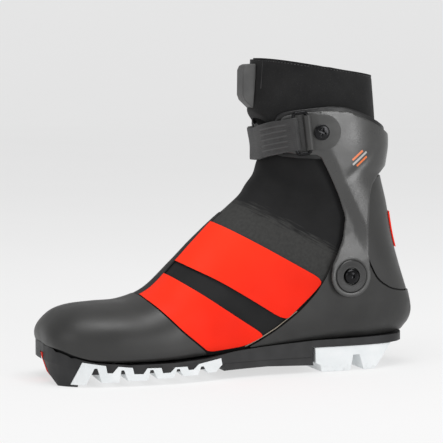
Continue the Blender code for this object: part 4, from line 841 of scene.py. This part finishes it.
def rounded(obj, voxel, rounds, look):
    """Rounds a cut wall's edges: an even fine mesh, smoothed a few times, in one material."""
    even = obj.modifiers.new("even", 'REMESH')
    even.mode, even.voxel_size, even.use_smooth_shade = 'VOXEL', voxel * MM, True
    rounding = obj.modifiers.new("rounding", 'SMOOTH')
    rounding.factor, rounding.iterations = 0.5, rounds
    baked(obj)
    obj.data.materials.clear()
    obj.data.materials.append(look)


WASHER_RADIUS = 12.5
recess_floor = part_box("pivot_washer_medial")[0][1] / MM - 0.3
cut_by(cuff, [disc_cutter(bolt_middle, WASHER_RADIUS + 0.5, recess_floor, 60.0),
              disc_cutter(bolt_middle, WASHER_RADIUS + 0.5, -60.0, -recess_floor)], 'DIFFERENCE')
rounded(cuff, 0.75, 3, cuff_nylon)
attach(cuff, "cuff")

# ---- Cuff lining and rear pad ----
# A thin felt lining stands a few millimetres proud of the shell's top edge as a soft dark lip.
# A foam pad in the same cloth fills the space behind the heel cord.
lining_felt = rubber("lining_felt", (0.009, 0.009, 0.0093), (0.014, 0.014, 0.0145), 0.42)
emboss(lining_felt, noise(lining_felt, 350.0, 5.0), 0.0002, 0.6)
LINING = [(29, 197), (33, 202.4), (66, 206.2), (84, 205.2), (105.5, 197.2), (140, 179.5),
          (140, 167), (126, 164.5), (112, 162), (100, 161), (68, 165.2), (36, 166.8),
          (31, 169), (28.4, 178)]


def lining_skin(u, v):
    return cuff_face(4.0 + v * (CUFF_TOP - 4), u * 2 * math.pi, -CUFF_WALL - 0.2)


bm = sheet(150, 60, lining_skin, ankle_core)
lining = piece_from("cuff_lining", bm, [lining_felt], None, 180.0, ("cuff_liner",))
baked(walled(lining, 2.2))
cut_by(lining, [side_cutter(softened(LINING), lining_felt)])
rounded(lining, 0.7, 6, lining_felt)
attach(lining, "cuff")
pad_foam = rubber("pad_cloth", (0.014, 0.014, 0.0145), (0.022, 0.022, 0.023), 0.8)
pad = moulded("heel_cord_pad", "rear_pad", pad_foam, "cuff", 0.6, 50.0, 3)

# ---- Cuff pivots ----
# Each arm turns on a steel bushing, held by a domed bolt with a small socket and a nut inside the boot.
# A grey washer fills the arm's recess round the bolt's head.
dark_steel = metal("dark_steel", (0.022, 0.022, 0.023), 0.24)
washer_nylon = film_look("washer_nylon", (0.015, 0.015, 0.0148), (0.020, 0.020, 0.0197), 0.3)
for side, label in ((-1, "lateral"), (1, "medial")):
    axis = (0, side, 0)
    centre = Vector((bolt_middle.x, 0.0, bolt_middle.z))
    floor, top = sorted(abs(corner[1]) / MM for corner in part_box("pivot_washer_" + label))
    turned("pivot_ring_" + label, [
        (6.5, floor), (WASHER_RADIUS, floor), (WASHER_RADIUS, top - 0.5), (WASHER_RADIUS - 0.5, top),
        (9.0, top - 0.05), (8.0, top - 0.12), (6.9, top - 0.1), (6.5, top - 0.5), (6.5, floor)], centre, axis,
        washer_nylon, "cuff", ("pivot_washer_" + label,), 64)
    foot, head = sorted(abs(corner[1]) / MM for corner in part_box("pivot_bolt_" + label))
    rim = floor + 0.2
    dome = [(5.9 * math.cos(t), rim + 0.9 + (head - rim - 0.9) * math.sin(t))
            for t in np.linspace(0.0, 1.25, 9)]
    turned("pivot_bolt_head_" + label, [
        (0, foot), (2.9, foot), (2.9, rim), (5.6, rim), (5.9, rim + 0.3), *dome,
        (1.5, head - 0.02), (1.3, head - 0.3), (1.3, head - 2.0), (0, head - 2.2)], centre, axis,
        dark_steel, "boot", ("pivot_bolt_" + label,), 64)
    moulded("bushing_" + label, "pivot_bushing_" + label, bright_steel, "cuff")
    moulded("inside_nut_" + label, "pivot_nut_" + label, bright_steel, "boot")

# ---- Strap ring and its anchor ----
# A loop of dark steel wire hangs in a rolled plate, which one large screw holds to the cuff.
# The strap's tail runs through the loop's other side.
joints = {joint["name"]: joint for joint in frame["record"]["behaviour"]["joints"]}
rear_bar = Vector(joints["ring_hinge"]["pos_m"])
front_bar = Vector(joints["tail_peel"]["pos_m"])
bar_axis = Vector(joints["ring_hinge"]["axis"]).normalized()
RING_HALF, CORNER, RING_WIRE = 15.6, 2.5 * MM, 1.3
loop = []
for at, toward, up in ((rear_bar, front_bar, -1), (rear_bar, front_bar, 1), (front_bar, rear_bar, 1),
                       (front_bar, rear_bar, -1)):
    inward = (toward - at).normalized()
    hub = at + bar_axis * up * (RING_HALF * MM - CORNER) + inward * CORNER
    bend = [hub - inward * CORNER * math.cos(t) + bar_axis * up * CORNER * math.sin(t)
            for t in np.linspace(0.0, math.pi / 2, 6)]
    loop += bend if (at is rear_bar) == (up == 1) else bend[::-1]
wire("wire_loop", dense([*loop, loop[0]], 0.0016)[:-1], RING_WIRE, dark_steel, "ring", ("strap_ring",),
     True, 14)
anchor_nylon = rubber("anchor_nylon", (0.036, 0.036, 0.035), (0.045, 0.045, 0.044), 0.42)
moulded("anchor_plate", "strap_anchor", anchor_nylon, "cuff", 0.5, 40.0, 3)
screw_low, screw_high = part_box("anchor_screw")
screw_out = Vector((-0.091, -0.996, 0.0)).normalized()
screw_face = Vector(((screw_low[0] + screw_high[0]) / 2, screw_low[1], (screw_low[2] + screw_high[2]) / 2))
SCREW_DEEP = (screw_high[1] - screw_low[1]) / MM
cap = [(6.0 * math.cos(t), -0.9 + 0.9 * math.sin(t)) for t in np.linspace(0.0, 1.1, 6)]
screw = turned("anchor_screw_head", [
    (0, -SCREW_DEEP), (2.0, -SCREW_DEEP), (2.0, -1.6), (5.8, -1.6), (6.0, -1.4), *cap, (2.6, -0.05), (0, 0.0)],
    screw_face, screw_out, dark_steel, None, ("anchor_screw",), 48)
blades = []
for turn in (0.35, 0.35 + math.pi / 2):
    bm = bmesh.new()
    bmesh.ops.create_cube(bm, size=1.0, matrix=Matrix.Translation(screw_face) @ Matrix.Rotation(turn, 4, 'Y')
                          @ Matrix.Diagonal((5.6 * MM, 2.4 * MM, 1.1 * MM, 1.0)))
    blades.append(piece_from("cutter", bm, [dark_steel]))
cut_by(screw, blades, 'DIFFERENCE')
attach(screw, "cuff")

# ---- Strap and its tail ----
# Flat woven webbing, riveted on the inner side and laid round the front of the cuff.
# Its tail turns round the loop and lies back over it, with ribs woven along its face.
STRAP_WIDTH, STRAP_THICK = 26.0, 1.7
STRAP_FRONT_Z, STRAP_INNER_Z = 176.8, 176.0
STRAP_TILT = math.radians(7.0)
RIVET_ANGLE = math.radians(38.0)
LEVELS = CUFF[:, 0]


def level_place(height):
    return np.interp(height, LEVELS, np.arange(len(LEVELS)))


def angle_at_x(x, height):
    """Where the outer side's face reaches a given x."""
    turns = np.linspace(math.pi / 2, math.pi, 2000)
    reach = cuff_face(level_place(height), turns)[:, 0] / MM
    return float(turns[np.argmin(np.abs(reach - x * LENGTH_SHARE))])


RING_X, RING_Z = rear_bar.x / MM / LENGTH_SHARE, rear_bar.z / MM
ring_angle = angle_at_x(RING_X, RING_Z)


def strap_middle(angle):
    front = math.pi / 2
    share_in = (front - angle) / (front - RIVET_ANGLE)
    share_out = (angle - front) / (ring_angle - front)
    return np.where(angle <= front, STRAP_FRONT_Z + (STRAP_INNER_Z - STRAP_FRONT_Z) * share_in,
                    STRAP_FRONT_Z + (RING_Z - STRAP_FRONT_Z) * share_out)


def on_strap(angle, share, out):
    """A point on the strap: share is -1 at its lower edge and 1 at its upper one."""
    rise = share * STRAP_WIDTH / 2
    level = level_place(strap_middle(angle) + rise * math.cos(STRAP_TILT))
    base = cuff_face(level, angle, out)
    ahead = cuff_face(level, angle + 0.01, out) - base
    ahead[:, 2] = 0.0
    ahead /= np.linalg.norm(ahead, axis=1, keepdims=True)
    lean = -rise * math.sin(STRAP_TILT) * np.maximum(0.0, np.sin(angle - math.pi / 2)) * MM
    return base + ahead * lean[:, None]


def woven(name, ribs=False):
    """Plain woven webbing. Ribs are lighter cords that run along part of it."""
    made = material(name, (0.024, 0.024, 0.0245), 0.6, Sheen_Weight=0.1, Specular_IOR_Level=0.4)
    mottle(made, 120.0, (0.038, 0.038, 0.0385), 4.0)
    uv = node(made, "TexCoord").outputs["UV"]
    picks = node(made, "Mapping", Vector=uv, Scale=(95.0, 17.0, 1.0)).outputs["Vector"]
    check = node(made, "TexBrick", Vector=picks, Scale=1.0, Mortar_Size=0.05, Mortar_Smooth=1.0, Bias=0.0,
                 Brick_Width=1.0, Row_Height=1.0)
    emboss(made, check.outputs["Fac"], -0.00022, 0.8)
    emboss(made, noise(made, 1200.0, 2.0), 0.00008, 0.4)
    if ribs:
        split = node(made, "SeparateXYZ", Vector=uv).outputs
        wave = sums(made, 'COSINE', times(made, split["Y"], 12.0 * math.pi))
        reach = sums(made, 'ABSOLUTE', sums(made, 'SUBTRACT', split["X"], RIBS[0]))
        share = times(made, ranged(made, wave, 0.45, 0.95), ranged(made, reach, RIBS[1], RIBS[1] - 0.02))
        paint(made, times(made, share, ranged(made, split["Y"], 0.93, 0.9)), (0.062, 0.062, 0.063))
    return made


RIBS = (0.72, 0.2)               # middle and half length of the ribbed stretch, as shares of the tail
webbing = woven("webbing")
tail_weave = woven("tail_weave", ribs=True)


def band(name, start, end, low, body, node_name, look, ribs=None, ends_at=None):
    """Webbing laid on the cuff between two angles, low mm off its face, and drawn at its end to a line."""
    def lie(u, v):
        share = v * 2.0 - 1.0
        face = low + STRAP_THICK - 0.35 * np.abs(share) ** 8
        out = face
        if ribs is not None:
            near = unit(1.0 - np.abs(u - ribs[0]) / ribs[1]) ** 0.3
            out = face + 0.3 * unit(np.cos(share * math.pi * 6.0)) ** 2 * near * (np.abs(share) < 0.9)
        points = on_strap(start + (end - start) * u, share, out)
        if ends_at is not None:
            climb = unit((u - 0.6) / 0.4)
            drawn = ends_at(share) - on_strap(np.full_like(u, end), share, face)
            points = points + drawn * (climb ** 2 * (3.0 - 2.0 * climb))[..., None]
        return points
    bm = sheet(120, 74, lie, ankle_core, wrap=False)
    obj = piece_from(name, bm, [look], None, 70.0, (node_name,))
    baked(walled(obj, STRAP_THICK - 0.1))
    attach(obj, body)


STRAP_LOW, WIRE_ROOM = 0.7, 0.3
RING_SPACING = 10.5
strap_end = angle_at_x(RING_X - RING_SPACING - 7.5, RING_Z)
band("strap_webbing", RIVET_ANGLE - 0.22, strap_end, STRAP_LOW, "cuff", "strap", webbing)
TAIL_LOW = STRAP_LOW + STRAP_THICK + 0.35
ring_forward = (front_bar - rear_bar).normalized()
ring_out = bar_axis.cross(ring_forward).normalized()
if ring_out.y > 0:
    ring_out = -ring_out
wire_angle = angle_at_x(front_bar.x / MM / LENGTH_SHARE, front_bar.z / MM)
WIRE_OVER = RING_WIRE + WIRE_ROOM + STRAP_THICK


def beside_wire(share, toward):
    """Points along the loop's front wire, at the strap's outer face."""
    spot = np.array(front_bar) + toward * WIRE_OVER * MM
    return spot + np.array(bar_axis) * np.expand_dims(share * (STRAP_WIDTH - 1.0) / 2 * MM, -1)


band("tail_webbing", math.radians(72.0), wire_angle, TAIL_LOW, "tail", "strap_tail", tail_weave, ribs=RIBS,
     ends_at=lambda share: beside_wire(share, np.array(ring_out)))


def turn_back(u, v):
    """The tail's turn round the loop's front wire, from behind it to its face."""
    t = (u * math.pi)[..., None]
    toward = -np.array(ring_out) * np.cos(t) - np.array(ring_forward) * np.sin(t)
    return beside_wire(v * 2.0 - 1.0, toward)


bm = sheet(24, 34, turn_back, lambda point: front_bar + bar_axis * (point - front_bar).dot(bar_axis),
           wrap=False)
tail_turn = piece_from("tail_turn", bm, [webbing], None, 70.0)
baked(walled(tail_turn, STRAP_THICK - 0.1))
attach(tail_turn, "tail")
moulded("rivet", "strap_rivet", dark_steel, "cuff", 0.25, 40.0, 2)

# ---- Zip ----
# A coil zip runs up the inner side of the instep: two toothed rows on a woven tape, a cast slider
# and a moulded puller that hinges on it.
zip_down = Vector(joints["zip_slide"]["axis"]).normalized()
zip_side = Vector(joints["puller_hinge"]["axis"]).normalized()
zip_out = zip_side.cross(zip_down).normalized()
if zip_out.z < 0:
    zip_out = -zip_out
tape_cloth = rubber("zip_tape", (0.014, 0.014, 0.0145), (0.023, 0.023, 0.024), 0.75)
moulded("zip_tape_strip", "zip_chain", tape_cloth, "boot", 0.15)
coil_nylon = rubber("zip_coil", (0.020, 0.020, 0.0205), (0.03, 0.03, 0.031), 0.4)
chain_low, chain_high = (Vector(corner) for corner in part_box("zip_chain"))
chain_middle = (chain_low + chain_high) / 2
offsets = [vertex.co - chain_middle for vertex in bpy.data.objects["zip_chain"].data.vertices]
along_it = [offset.dot(zip_down) for offset in offsets]
cross_it = [offset.dot(zip_side) for offset in offsets]
face = max(offset.dot(zip_out) for offset in offsets) - 0.45 * MM
row_middle = chain_middle + zip_side * (max(cross_it) + min(cross_it)) / 2 + zip_out * face
TOOTH_PITCH = 1.5 * MM
tooth_shape = (Matrix((zip_side, zip_down, zip_out)).transposed().to_4x4()
               @ Matrix.Diagonal((2.6 * MM, 0.8 * MM, 0.8 * MM, 1.0)))
bm = bmesh.new()
for k in range(int((max(along_it) - min(along_it)) / TOOTH_PITCH) - 2):
    spot = row_middle + zip_down * (min(along_it) + (k + 1.5) * TOOTH_PITCH)
    spot += zip_side * 0.55 * MM * (1 if k % 2 else -1)
    bmesh.ops.create_cube(bm, size=1.0, matrix=Matrix.Translation(spot) @ tooth_shape)
bmesh.ops.bevel(bm, geom=bm.edges[:], offset=0.18 * MM, segments=1, profile=0.5, affect='EDGES',
                material=-1)
piece_from("zip_teeth", bm, [coil_nylon], "boot", 30.0)
moulded("slider_casting", "zip_slider", dark_steel, "slider", 0.15)
moulded("puller_moulding", "zip_puller", tab_rubber, "puller", 0.2)
